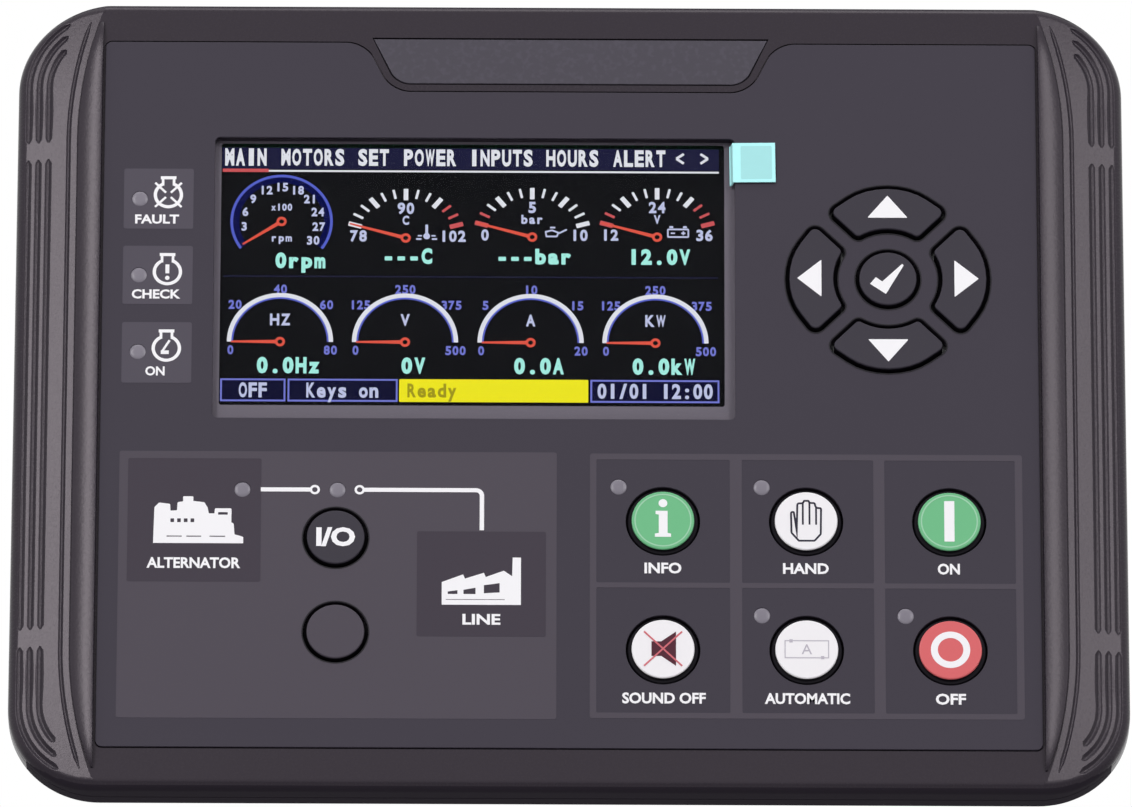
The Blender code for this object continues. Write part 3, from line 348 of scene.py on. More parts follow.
class ControllerStage(bpy.types.PropertyGroup):
    """The camera and the light."""

    distance: length("Camera distance", "From the camera to the object", 3.2)
    lens: level("Lens", "Focal length in millimetres", 468.5, 1.0)
    azimuth: angle("Azimuth", "Camera's turn to the side", -0.32)
    elevation: angle("Elevation", "Camera's height angle", -23.5)
    roll: angle("Roll", "Camera's turn about its view", 0.11)
    left_power: level("Left light", "Power of the left softbox", 13.0)
    right_power: level("Right light", "Power of the right softbox", 10.5)
    top_power: level("Top light", "Power of the top softbox", 10.0)
    ambient: level("Ambient", "Level of the light all round", 0.42)
    floor: colour("Floor", "Pale floor", paint(240, 240, 240))


def sizes():
    return bpy.context.scene.controller_sizes


def colours():
    return bpy.context.scene.controller_colours


# Drawing


def centred(half_x, half_up, radius=0.0, centre=(0.0, 0.0)):
    """Corners of a rectangle about a centre."""
    x, up = centre[0], centre[1]
    return boxed((x - half_x, up - half_up, x + half_x, up + half_up), radius)


def boxed(box, radius=0.0):
    """Corners of a rectangle from its lowest and highest corners."""
    left, low, right, high = box
    return [(left, low, radius), (right, low, radius), (right, high, radius), (left, high, radius)]


def notched(half_x, half_up, notch):
    """Corners of a rectangle that leaves out a square at each corner."""
    quarter = [(half_x, half_up - notch), (half_x - notch, half_up - notch), (half_x - notch, half_up)]
    upper = quarter + [(-x, up) for x, up in reversed(quarter)]
    return [(x, up, 0.0) for x, up in upper + [(-x, -up) for x, up in upper]]


def round_hole(centre, radius, steps=56):
    turns = [2 * math.pi * step / steps for step in range(steps)]
    return [(centre[0] + radius * math.cos(a), centre[1] + radius * math.sin(a), 0.0) for a in turns]


def moved(corners, centre, quarter_turns=0):
    """Corners turned by quarter turns and moved to a centre."""
    for _ in range(quarter_turns):
        corners = [(-up, x, radius) for x, up, radius in corners]
    return [(centre[0] + x, centre[1] + up, radius) for x, up, radius in corners]


def mirrored(corners):
    """Right half of a symmetrical outline, from bottom to top, made whole."""
    return corners + [(-x, up, radius) for x, up, radius in reversed(corners)]


def add_outline(shape, corners, steps=8):
    """A flat face on (x, up, radius) corners, each one rounded by its radius."""
    verts = [shape.verts.new((x, up, 0.0)) for x, up, _ in corners]
    face = shape.faces.new(verts)
    reaches = []
    for index, (_, _, radius) in enumerate(corners):
        here = verts[index].co
        before, after = verts[index - 1].co - here, verts[(index + 1) % len(verts)].co - here
        reaches.append(radius / math.tan(before.angle(after) / 2) if radius > 0 else 0.0)
    for vert, reach in zip(verts, reaches):
        if reach > 0:
            made = bmesh.ops.bevel(
                shape, geom=[vert], offset=reach, offset_type="OFFSET", affect="VERTICES",
                segments=steps, profile=0.5, material=-1,
            )
            face = made["verts"][0].link_faces[0]
    return face


def add_sheet(shape, outlines, steps=8):
    """A flat sheet: the first outline is its edge, and the others are its holes."""
    edges = []
    for corners in outlines:
        face = add_outline(shape, corners, steps)
        edges.extend(face.edges[:])
        bmesh.ops.delete(shape, geom=[face], context="FACES_ONLY")
    bmesh.ops.triangle_fill(shape, edges=edges, use_beauty=True)


def add_bar(shape, start, end, width):
    """A straight bar with square ends."""
    start, end = Vector((start[0], start[1], 0.0)), Vector((end[0], end[1], 0.0))
    along = end - start
    place = Matrix.Translation((start + end) / 2) @ Matrix.Rotation(math.atan2(along.y, along.x), 4, "Z")
    size = Matrix.Diagonal((along.length, width, 1.0, 1.0))
    bmesh.ops.create_grid(shape, x_segments=1, y_segments=1, size=0.5, matrix=place @ size)


def add_disc(shape, centre, radius, steps=28):
    place = Matrix.Translation((centre[0], centre[1], 0.0))
    bmesh.ops.create_circle(shape, cap_ends=True, radius=radius, segments=steps, matrix=place)


def add_arc(shape, centre, radius, width, start=0.0, end=360.0, steps=40):
    """A flat arc of even width, between two angles in degrees."""
    turn = Vector((math.cos(math.radians(start)), math.sin(math.radians(start)), 0.0))
    about = Vector((centre[0], centre[1], 0.0))
    ends = [shape.verts.new(about + turn * (radius + side * width / 2)) for side in (-1, 1)]
    line = shape.edges.new(ends)
    bmesh.ops.spin(
        shape, geom=ends + [line], cent=about, axis=(0.0, 0.0, 1.0), angle=math.radians(end - start),
        steps=steps, use_merge=end - start >= 360,
    )


def add_line_round(shape, corners, width, steps=4):
    """The outline of a closed figure, drawn inside it with an even width."""
    face = add_outline(shape, corners, steps)
    face.normal_update()
    bmesh.ops.inset_individual(shape, faces=[face], thickness=width, use_even_offset=True)
    bmesh.ops.delete(shape, geom=[face], context="FACES")


def word_mesh(words, weight):
    """The words as a flat mesh with capitals 1 high, made once."""
    name = f"words {words} {weight}"
    made = bpy.data.meshes.get(name)
    if made:
        return made
    curve = bpy.data.curves.new("words", "FONT")
    curve.body = words
    curve.size = 1 / 0.682
    curve.offset = weight
    curve.resolution_u = 3
    holder = bpy.data.objects.new("words", curve)
    bpy.context.scene.collection.objects.link(holder)
    made = evaluated_mesh(holder)
    made.name = name
    return made


def add_words(shape, words, centre, height, width=None, weight=0.045):
    """Words about a centre, with capitals of this height, stretched to a width where one is given."""
    mesh = word_mesh(words, weight)
    across = [vert.co.x for vert in mesh.vertices]
    low, high = min(across), max(across)
    stretch = width / (high - low) if width else height
    count = len(shape.verts)
    shape.from_mesh(mesh)
    shape.verts.ensure_lookup_table()
    place = Matrix.Translation((centre[0], centre[1], 0.0)) @ Matrix.Diagonal((stretch, height, 1.0, 1.0))
    to_middle = Matrix.Translation((-(low + high) / 2, -0.5, 0.0))
    bmesh.ops.transform(shape, matrix=place @ to_middle, verts=shape.verts[count:])


def add_fixed(shape, words, centre, height, pitch, weight=0.05):
    """Words with an even pitch, as a plain screen font sets them."""
    for index, letter in enumerate(words):
        if letter == " ":
            continue
        across = [vert.co.x for vert in word_mesh(letter, weight).vertices]
        natural = (max(across) - min(across)) * height
        x = centre[0] + (index - (len(words) - 1) / 2) * pitch
        add_words(shape, letter, (x, centre[1]), height, min(natural, pitch * 0.84), weight)


# Solids


def islands(shape):
    """Lists the groups of vertices that edges join, in the order of their first vertices."""
    groups = []
    seen = set()
    for first in shape.verts:
        if first in seen:
            continue
        seen.add(first)
        group = [first]
        for vert in group:
            near = dict.fromkeys(edge.other_vert(vert) for edge in vert.link_edges)
            fresh = [other for other in near if other not in seen]
            seen.update(fresh)
            group += fresh
        groups.append(group)
    return groups


def raised(shape, back, front, hair=0.0):
    """Makes the flat faces of a drawing solid between two depths; parts that may cross end a hair apart."""
    bmesh.ops.remove_doubles(shape, verts=shape.verts, dist=1e-4)
    for vert in shape.verts:
        vert.co.z = back
    grown = bmesh.ops.extrude_face_region(shape, geom=shape.faces[:], use_keep_orig=True)
    fresh = [part for part in grown["geom"] if isinstance(part, bmesh.types.BMVert)]
    bmesh.ops.translate(shape, verts=fresh, vec=(0.0, 0.0, front - back))
    if hair:
        for rank, group in enumerate(islands(shape)):
            tops = [vert for vert in group if vert.co.z > (back + front) / 2]
            bmesh.ops.translate(shape, verts=tops, vec=(0.0, 0.0, hair * (rank % HAIR_LEVELS)))
    return shape


def solid(corners, back, front, steps=8):
    """A plate with this outline between two depths."""
    shape = bmesh.new()
    add_outline(shape, corners, steps)
    return raised(shape, back, front)


def solids(outlines, back, front, steps=8):
    """Several plates between the same depths."""
    shape = bmesh.new()
    for corners in outlines:
        add_outline(shape, corners, steps)
    return raised(shape, back, front)


def turned(profile, centre=(0.0, 0.0), steps=64):
    """A solid turned round the depth axis from (radius, depth) points."""
    shape = bmesh.new()
    verts = [shape.verts.new((radius, 0.0, depth)) for radius, depth in profile]
    edges = [shape.edges.new(pair) for pair in zip(verts, verts[1:])]
    bmesh.ops.spin(
        shape, geom=verts + edges, cent=(0.0, 0.0, 0.0), axis=(0.0, 0.0, 1.0), angle=2 * math.pi,
        steps=steps, use_merge=True,
    )
    bmesh.ops.remove_doubles(shape, verts=shape.verts, dist=1e-4)
    bmesh.ops.translate(shape, verts=shape.verts, vec=(centre[0], centre[1], 0.0))
    return shape


def soften(shape, edges, size, steps=4):
    bmesh.ops.recalc_face_normals(shape, faces=shape.faces)
    bmesh.ops.bevel(
        shape, geom=edges, offset=size, offset_type="OFFSET", affect="EDGES", segments=steps,
        profile=0.5, material=-1,
    )


def corner_edges(shape, depth):
    """The edges at one depth where a flat face meets a wall."""
    bmesh.ops.recalc_face_normals(shape, faces=shape.faces)
    found = []
    for edge in shape.edges:
        level = all(abs(vert.co.z - depth) < 1e-3 for vert in edge.verts)
        if level and len(edge.link_faces) == 2 and edge.calc_face_angle() > 1.0:
            found.append(edge)
    return found


def split_at(shape, point, normal):
    parts = shape.verts[:] + shape.edges[:] + shape.faces[:]
    bmesh.ops.bisect_plane(shape, geom=parts, dist=1e-5, plane_co=point, plane_no=normal)


def stand_in(shape):
    """An object that holds a shape for a while, which is used up."""
    bmesh.ops.recalc_face_normals(shape, faces=shape.faces)
    mesh = bpy.data.meshes.new("stand in")
    shape.to_mesh(mesh)
    shape.free()
    holder = bpy.data.objects.new("stand in", mesh)
    bpy.context.scene.collection.objects.link(holder)
    return holder


def evaluated_mesh(holder):
    """A new mesh of an object as its modifiers or its curve settings leave it; the object is removed."""
    bpy.context.view_layer.update()
    mesh = bpy.data.meshes.new_from_object(holder.evaluated_get(bpy.context.evaluated_depsgraph_get()))
    bpy.data.objects.remove(holder)
    return mesh


def as_shape(holder):
    """The evaluated mesh of an object as a shape."""
    mesh = evaluated_mesh(holder)
    shape = bmesh.new()
    shape.from_mesh(mesh)
    bpy.data.meshes.remove(mesh)
    return shape


def combined(shape, tools, operation="DIFFERENCE"):
    """The shape after a Boolean with each tool."""
    whole = stand_in(shape)
    others = [stand_in(tool) for tool in tools]
    for other in others:
        step = whole.modifiers.new("step", "BOOLEAN")
        step.operation = operation
        step.solver = "EXACT"
        step.object = other
    made = as_shape(whole)
    for other in others:
        mesh = other.data
        bpy.data.objects.remove(other)
        bpy.data.meshes.remove(mesh)
    return made


def build_piece(name, parts, body="housing", replaces=(), smooth=35.0, crease=None):
    """One object from (shape, material) parts; edges that pass a crease test stay sharp."""
    whole = bmesh.new()
    for index, (shape, _) in enumerate(parts):
        bmesh.ops.recalc_face_normals(shape, faces=shape.faces)
        for face in shape.faces:
            face.material_index = index
        part = bpy.data.meshes.new(name)
        shape.to_mesh(part)
        shape.free()
        whole.from_mesh(part)
        bpy.data.meshes.remove(part)
    whole.edges.index_update()
    creased = [edge.index for edge in whole.edges if crease and crease(edge)]
    whole.transform(TO_FRAME)
    mesh = bpy.data.meshes.new(name)
    whole.to_mesh(mesh)
    whole.free()
    mesh.shade_smooth()
    mesh.set_sharp_from_angle(angle=math.radians(smooth))
    for index in creased:
        mesh.edges[index].use_edge_sharp = True
    for _, material in parts:
        mesh.materials.append(material)
    piece = bpy.data.objects.new(name, mesh)
    bpy.context.scene.collection.objects.link(piece)
    even = piece.modifiers.new("even normals", "WEIGHTED_NORMAL")
    even.keep_sharp = True
    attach(piece, body)
    if replaces:
        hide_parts(*replaces)
    return piece


# Shader node groups


def place_node(tree, kind, inputs=(), **settings):
    """A node with its settings, whose inputs are values or other nodes' outputs."""
    node = tree.nodes.new(kind)
    for key, value in settings.items():
        setattr(node, key, value)
    for key, value in dict(inputs).items():
        if isinstance(value, bpy.types.NodeSocket):
            tree.links.new(value, node.inputs[key])
        else:
            node.inputs[key].default_value = value
    return node


def maths(tree, operation, first, second=0.0):
    return place_node(tree, "ShaderNodeMath", {0: first, 1: second}, operation=operation).outputs[0]


def blended(tree, factor, first, second, blend="MIX"):
    inputs = {0: factor, 6: first, 7: second}
    return place_node(tree, "ShaderNodeMix", inputs, data_type="RGBA", blend_type=blend).outputs[2]


def noise(tree, where, scale, detail=2.0):
    inputs = {"Vector": where, "Scale": scale, "Detail": detail}
    return place_node(tree, "ShaderNodeTexNoise", inputs).outputs["Fac"]


def scaled(tree, tint, share):
    return place_node(tree, "ShaderNodeVectorMath", {0: tint, "Scale": share}, operation="SCALE").outputs[0]


def swing(tree, pattern, amount):
    """A pattern about its middle, made as wide as the amount."""
    return maths(tree, "MULTIPLY", maths(tree, "SUBTRACT", pattern, 0.5), amount)


def title(maker):
    """The name of what a function makes."""
    return maker.__name__.replace("_", " ").capitalize()


def new_group(maker, takes, gives):
    """A shader node group with its sockets, the sockets of its input node, and the place on the object."""
    group = bpy.data.node_groups.new(title(maker), "ShaderNodeTree")
    for side, sockets in (("INPUT", takes), ("OUTPUT", gives)):
        for socket_name, kind in sockets:
            group.interface.new_socket(name=socket_name, in_out=side, socket_type=f"NodeSocket{kind}")
    entry = group.nodes.new("NodeGroupInput").outputs
    where = place_node(group, "ShaderNodeTexCoord").outputs["Object"]
    return group, entry, where


def close_group(group, **results):
    out = group.nodes.new("NodeGroupOutput")
    for name, socket in results.items():
        group.links.new(socket, out.inputs[name])
    return group


def floats(*names):
    return tuple((name, "Float") for name in names)


TINT = (("Color", "Color"),)
SURFACE_OUT = TINT + floats("Roughness", "Height")


def moulded_grain():
    """Fine moulded grain: a cloudy colour, an uneven sheen and a height."""
    takes = TINT + floats("Roughness", "Size", "Clouds", "Sheen")
    group, entry, where = new_group(moulded_grain, takes, SURFACE_OUT)
    fine = noise(group, where, maths(group, "DIVIDE", 1.0, entry["Size"]), 3.0)
    wide = noise(group, where, 34.0, 3.0)
    mixed = maths(group, "ADD", maths(group, "MULTIPLY", wide, 0.75), maths(group, "MULTIPLY", fine, 0.25))
    tint = scaled(group, entry["Color"], maths(group, "ADD", 1.0, swing(group, mixed, entry["Clouds"])))
    rough = maths(group, "ADD", entry["Roughness"], swing(group, fine, entry["Sheen"]))
    return close_group(group, Color=tint, Roughness=rough, Height=fine)


def light_flecks():
    """Small pale flecks in a darker film."""
    takes = TINT + (("Fleck", "Color"),) + floats("Roughness", "Size", "Amount")
    group, entry, where = new_group(light_flecks, takes, SURFACE_OUT)
    grain = noise(group, where, maths(group, "DIVIDE", 1.0, entry["Size"]), 4.0)
    past = maths(group, "SUBTRACT", grain, maths(group, "SUBTRACT", 1.0, entry["Amount"]))
    sharper = place_node(group, "ShaderNodeMath", {0: past, 1: 7.0}, operation="MULTIPLY", use_clamp=True)
    mask = sharper.outputs[0]
    tint = blended(group, mask, entry["Color"], entry["Fleck"])
    rough = maths(group, "SUBTRACT", entry["Roughness"], maths(group, "MULTIPLY", mask, 0.1))
    return close_group(group, Color=tint, Roughness=rough, Height=grain)


def plated_metal():
    """Zinc plating: faint spangle and rolled streaks."""
    takes = TINT + floats("Roughness", "Streak")
    group, entry, where = new_group(plated_metal, takes, SURFACE_OUT)
    stretched = place_node(group, "ShaderNodeMapping", {"Vector": where, "Scale": (1.0, 1.0, 9.0)})
    streaks = noise(group, stretched.outputs[0], 260.0, 4.0)
    cells = place_node(group, "ShaderNodeTexVoronoi", {"Vector": where, "Scale": 420.0}).outputs["Color"]
    spangle = place_node(group, "ShaderNodeSeparateColor", {0: cells}).outputs[0]
    rolled = maths(group, "MULTIPLY", streaks, 0.6)
    spangled = maths(group, "MULTIPLY", spangle, 0.4)
    uneven = swing(group, maths(group, "ADD", rolled, spangled), entry["Streak"])
    tint = scaled(group, entry["Color"], maths(group, "ADD", 1.0, uneven))
    rough = maths(group, "ADD", entry["Roughness"], uneven)
    return close_group(group, Color=tint, Roughness=rough, Height=streaks)


def board_tracks():
    """Solder mask with copper tracks and pads under it."""
    takes = TINT + (("Track", "Color"),) + floats("Roughness", "Size")
    group, entry, where = new_group(board_tracks, takes, SURFACE_OUT)
    flat = place_node(group, "ShaderNodeMapping", {"Vector": where, "Rotation": (math.radians(90), 0.0, 0.0)})
    inputs = {
        "Vector": flat.outputs[0],
        "Scale": maths(group, "DIVIDE", 1.0, entry["Size"]),
        "Mortar Size": 0.03,
        "Color1": (0.0, 0.0, 0.0, 1.0),
        "Color2": (0.15, 0.15, 0.15, 1.0),
        "Mortar": (1.0, 1.0, 1.0, 1.0),
    }
    lines = place_node(group, "ShaderNodeTexBrick", inputs).outputs["Color"]
    mask = place_node(group, "ShaderNodeSeparateColor", {0: lines}).outputs[0]
    tint = blended(group, mask, entry["Color"], entry["Track"])
    rough = maths(group, "SUBTRACT", entry["Roughness"], maths(group, "MULTIPLY", mask, 0.08))
    return close_group(group, Color=tint, Roughness=rough, Height=mask)


def foam_cells():
    """Open cells of a foam or rubber surface."""
    takes = TINT + floats("Roughness", "Size", "Depth")
    group, entry, where = new_group(foam_cells, takes, SURFACE_OUT)
    scale = maths(group, "DIVIDE", 1.0, entry["Size"])
    cells = place_node(group, "ShaderNodeTexVoronoi", {"Vector": where, "Scale": scale}).outputs["Distance"]
    shade = maths(group, "SUBTRACT", 1.0, maths(group, "MULTIPLY", cells, entry["Depth"]))
    rough = maths(group, "ADD", entry["Roughness"], maths(group, "MULTIPLY", cells, 0.1))
    return close_group(group, Color=scaled(group, entry["Color"], shade), Roughness=rough, Height=cells)


def screen_cells():
    """The fine grid of a lit display: each cell is a little darker at its edges."""
    group, entry, where = new_group(screen_cells, TINT + floats("Pitch", "Edge"), TINT)
    split = place_node(group, "ShaderNodeSeparateXYZ", {0: where}).outputs
    inside = []
    for axis in ("X", "Z"):
        part = maths(group, "FRACT", maths(group, "DIVIDE", split[axis], entry["Pitch"]))
        inside.append(maths(group, "GREATER_THAN", part, 0.18))
    lit = maths(group, "MULTIPLY", inside[0], inside[1])
    dark = maths(group, "MULTIPLY", maths(group, "SUBTRACT", 1.0, lit), entry["Edge"])
    return close_group(group, Color=scaled(group, entry["Color"], maths(group, "SUBTRACT", 1.0, dark)))


# Materials


def surface(name, maker, values, bump=0.0, lit=False, **plain):
    """A Principled material with a group's colour, roughness and bump; plain names its own sockets."""
    made = bpy.data.materials.get(name)
    if made:
        return made
    made = bpy.data.materials.new(name)
    made.use_nodes = True
    tree = made.node_tree
    shader = tree.nodes["Principled BSDF"]
    group = bpy.data.node_groups.get(title(maker)) or maker()
    placed = place_node(tree, "ShaderNodeGroup", node_tree=group)
    for key, value in values.items():
        placed.inputs[key].default_value = (*value, 1.0) if isinstance(value, (tuple, list)) else value
    tree.links.new(placed.outputs["Color"], shader.inputs["Emission Color" if lit else "Base Color"])
    if "Roughness" in placed.outputs:
        tree.links.new(placed.outputs["Roughness"], shader.inputs["Roughness"])
    if bump:
        inputs = {"Height": placed.outputs["Height"], "Strength": bump, "Distance": BUMP_HEIGHT}
        tree.links.new(place_node(tree, "ShaderNodeBump", inputs).outputs[0], shader.inputs["Normal"])
    for key, value in plain.items():
        shader.inputs[key.replace("_", " ")].default_value = value
    return made


def grained(name, tint, rough, size=None, clouds=0.1, sheen=0.06, bump=0.12, **plain):
    """Moulded plastic, film or rubber."""
    grain = size or sizes().grain_size
    values = {"Color": tuple(tint), "Roughness": rough, "Size": grain, "Clouds": clouds, "Sheen": sheen}
    plain.setdefault("Specular_IOR_Level", 0.3)
    return surface(name, moulded_grain, values, bump, **plain)


def moulding():
    tint, gloss_tint = colours().moulding, (1.0, 0.9, 0.96, 1.0)
    return grained("Front moulding", tint, 0.27, clouds=0.12, bump=0.16, Specular_Tint=gloss_tint)


def moulding_wall():
    return grained("Moulding wall", colours().moulding, 0.7, bump=0.25, Specular_IOR_Level=0.06)


def overlay_film():
    tint = colours().overlay
    return grained("Overlay film", tint, 0.5, 0.0003, clouds=0.06, bump=0.08, Specular_IOR_Level=0.2)


def ink(name, tint):
    return grained(name, tint, 0.5, 0.0003, clouds=0.04, bump=0.05, Specular_IOR_Level=0.2)


def white_ink():
    return ink("White ink", colours().white_print)


def name_plate_film():
    tint = colours().name_plate
    fleck = tuple(min(1.0, part * 1.25) for part in tint)
    values = {"Color": tuple(tint), "Fleck": fleck, "Roughness": 0.45, "Size": 0.0012, "Amount": 0.5}
    return surface("Name plate film", light_flecks, values, 0.15, Specular_IOR_Level=0.25)


def key_rubber():
    return grained("Key rubber", colours().key_rubber, 0.52, 0.0004, bump=0.1, Specular_IOR_Level=0.22)


# Near-black key sides: partly the dark rubber, partly painted shade of the gap between key and hole.
def key_side():
    return grained("Key side", colours().key_side, 0.6, 0.0004, bump=0.1, Specular_IOR_Level=0.12)


def coloured_key(name, tint):
    return grained(name, tint, 0.34, 0.0005, clouds=0.05, bump=0.05, Specular_IOR_Level=0.35)


def lamp_lens():
    return grained("Lamp lens", colours().lamp_lens, 0.3, 0.0005, clouds=0.25, bump=0.05)


def window_glass():
    return grained(
        "Window glass", paint(24, 23, 28), 0.06, 0.02, clouds=0.05, sheen=0.02, bump=0.0,
        Alpha=0.06, Specular_IOR_Level=0.3,
    )


def peel_film():
    return grained("Peel film", paint(60, 66, 70), 0.16, 0.01, sheen=0.08, bump=0.1, Alpha=0.015)


def tab_film(name, tint):
    return grained(name, tint, 0.25, 0.002, clouds=0.16, bump=0.1, Specular_IOR_Level=0.3)


def housing_plastic():
    return grained("Housing plastic", colours().housing, 0.55, 0.0009, clouds=0.14, bump=0.35)


def terminal_plastic():
    return grained("Terminal plastic", colours().terminal, 0.42, 0.0008, clouds=0.1, bump=0.12)


def zinc():
    values = {"Color": paint(196, 198, 196), "Roughness": 0.34, "Streak": 0.22}
    return surface("Zinc plate", plated_metal, values, 0.06, Metallic=1.0)


def nickel():
    values = {"Color": paint(214, 212, 206), "Roughness": 0.26, "Streak": 0.12}
    return surface("Bright nickel", plated_metal, values, 0.03, Metallic=1.0)


def laminate():
    track = tuple(part * 1.9 for part in colours().board)
    values = {"Color": tuple(colours().board), "Track": track, "Roughness": 0.42, "Size": 0.005}
    return surface("Board laminate", board_tracks, values, 0.2)


def foam():
    values = {"Color": paint(34, 34, 36), "Roughness": 0.85, "Size": 0.0007, "Depth": 0.5}
    return surface("Gasket foam", foam_cells, values, 0.6)


def mat_rubber():
    values = {"Color": paint(150, 150, 152), "Roughness": 0.7, "Size": 0.0012, "Depth": 0.2}
    return surface("Mat rubber", foam_cells, values, 0.2)


def screen_glass():
    return grained("Screen glass", paint(8, 8, 12), 0.3, 0.002, bump=0.02, Specular_IOR_Level=0.02)


def backlight_frame():
    return grained("Backlight frame", paint(214, 214, 212), 0.4, 0.001, bump=0.05)


def ribbon_grey():
    return grained("Ribbon grey", paint(150, 150, 152), 0.5, 0.0012, bump=0.3)


def lit_cells(name, tint):
    """A lit part of the display, which is seen by its own light."""
    values = {"Color": tint, "Pitch": PICTURE_PIXEL * MM, "Edge": 0.12}
    black = (0.0, 0.0, 0.0, 1.0)
    return surface(
        name, screen_cells, values, lit=True, Base_Color=black, Emission_Strength=1.0, Specular_IOR_Level=0.0,
    )


# Front moulding, overlay sheet and name plate


def side_bend(height):
    """How far the ridge, the border groove and the flank's fold bend in at this height."""
    past = max(0.0, abs(height) - RIDGE_STRAIGHT)
    return RIDGE_CURVE - math.sqrt(RIDGE_CURVE**2 - past**2)


def fold(height):
    """How far to the side the sloping flank starts at this height."""
    return FLANK_START - side_bend(height)


def flank_depth(x, height):
    """The depth of the rim's face at a point, on the flat or on the sloping flank."""
    past = max(0.0, abs(x) - fold(height))
    return FACE_DEPTH - past * (FACE_DEPTH - FLANK_EDGE_DEPTH) / (RIM_HALF[0] - FLANK_START)


def outward(point):
    """The direction straight out of the rim's wall at a point on it."""
    core = [half - RIM_CORNER for half in RIM_HALF]
    nearest = Vector((max(-core[0], min(core[0], point.x)), max(-core[1], min(core[1], point.y)), point.z))
    return (point - nearest).normalized()


def is_front(face):
    return face.normal.z > 0.9 and face.calc_center_median().z > SEAM_DEPTH


def cut_folds(shape):
    """Cuts the rim's face along both folds, which bend in towards the corners."""
    reach = RIM_HALF[1] - RIDGE_STRAIGHT
    upper = [RIDGE_STRAIGHT + reach * step / FLANK_BANDS for step in range(FLANK_BANDS + 1)]
    heights = [-height for height in reversed(upper)] + upper
    for height in heights[1:-1]:
        split_at(shape, (0.0, height, 0.0), (0.0, 1.0, 0.0))
    shape.normal_update()
    for low, high in zip(heights, heights[1:]):
        for side in (-1, 1):
            start = Vector((side * fold(low), low, 0.0))
            end = Vector((side * fold(high), high, 0.0))
            front = [face for face in shape.faces if is_front(face)]
            band = [face for face in front if low < face.calc_center_median().y < high]
            band = [face for face in band if max(side * vert.co.x for vert in face.verts) > RIDGE_INNER / 2]
            edges = list(dict.fromkeys(edge for face in band for edge in face.edges))
            verts = list(dict.fromkeys(vert for face in band for vert in face.verts))
            normal = (end - start).cross(Vector((0.0, 0.0, 1.0)))
            parts = verts + edges + band
            bmesh.ops.bisect_plane(shape, geom=parts, dist=1e-3, plane_co=start, plane_no=normal)


def rim_body():
    """The rim's solid: a flat front, sloping flanks, a fine seam round its wall and a rounded edge."""
    shape = solid(centred(*RIM_HALF, RIM_CORNER), RIM_BACK, FACE_DEPTH, RIM_CORNER_STEPS)
    bmesh.ops.recalc_face_normals(shape, faces=shape.faces)
    cut_folds(shape)
    for step in (-SEAM_HALF, 0.0, SEAM_HALF):
        split_at(shape, (0.0, 0.0, SEAM_DEPTH + step), (0.0, 0.0, 1.0))
    for vert in shape.verts:
        if vert.co.z > FACE_DEPTH - 0.01:
            vert.co.z = flank_depth(vert.co.x, vert.co.y)
        elif abs(vert.co.z - SEAM_DEPTH) < 0.01:
            vert.co -= outward(vert.co) * SEAM_HALF
    bmesh.ops.recalc_face_normals(shape, faces=shape.faces)
    front = {face for face in shape.faces if is_front(face)}
    rim_edges = [edge for edge in shape.edges if len(front.intersection(edge.link_faces)) == 1]
    soften(shape, rim_edges, sizes().rim_round / MM, 12)
    return shape


def is_flat(face):
    """Whether a face of the moulding lies in its flat front or in a sloping flank."""
    x, height, _ = face.calc_center_median()
    slope = 0.0
    if abs(x) > fold(height):
        slope = (FACE_DEPTH - FLANK_EDGE_DEPTH) / (RIM_HALF[0] - FLANK_START)
    bend = max(0.0, abs(height) - RIDGE_STRAIGHT)
    lean = math.copysign(slope * bend / math.sqrt(RIDGE_CURVE**2 - bend**2), height)
    return face.normal.angle(Vector((math.copysign(slope, x), lean, 1.0)), math.pi) < FLAT_ENOUGH


def borders_flat(edge):
    """Whether the moulding turns away from a flat stretch at this edge."""
    turns = len(edge.link_faces) == 2 and edge.calc_face_angle() > FLAT_TURN
    return turns and any(is_flat(face) for face in edge.link_faces)


def ridge_section(width, rise):
    """Points across a ridge: a short side up to its crest, one long shallow arc and a short steep foot."""
    crest, foot = (part * width / RIDGE_WIDTH for part in (RIDGE_CREST, RIDGE_FOOT))
    reach = width - crest - foot
    drop = rise + RIDGE_SINK
    steepest = math.atan(RIDGE_ARC_SHARE * drop / reach)
    ease = min(1.0, 2 * steepest / (RIDGE_CREST_TILT + RIDGE_FOOT_TILT))
    start, end = RIDGE_CREST_TILT * ease, RIDGE_FOOT_TILT * ease
    radius = reach / (math.sin(end) - math.sin(start))
    points = [(0.0, -RIDGE_SINK)]
    for step in range(1, RIDGE_STEPS):
        angle = math.pi / 2 * step / RIDGE_STEPS
        points.append((crest * (1 - math.cos(angle)), drop * math.sin(angle) - RIDGE_SINK))
    for step in range(RIDGE_STEPS + 1):
        angle = start + (end - start) * step / RIDGE_STEPS
        across = crest + radius * (math.sin(angle) - math.sin(start))
        points.append((across, rise - radius * (math.cos(start) - math.cos(angle))))
    level = points[-1][1] + RIDGE_SINK
    for step in range(1, RIDGE_FOOT_STEPS + 1):
        angle = math.pi / 2 * step / RIDGE_FOOT_STEPS
        points.append((width - foot * (1 - math.sin(angle)), level * math.cos(angle) - RIDGE_SINK))
    return points


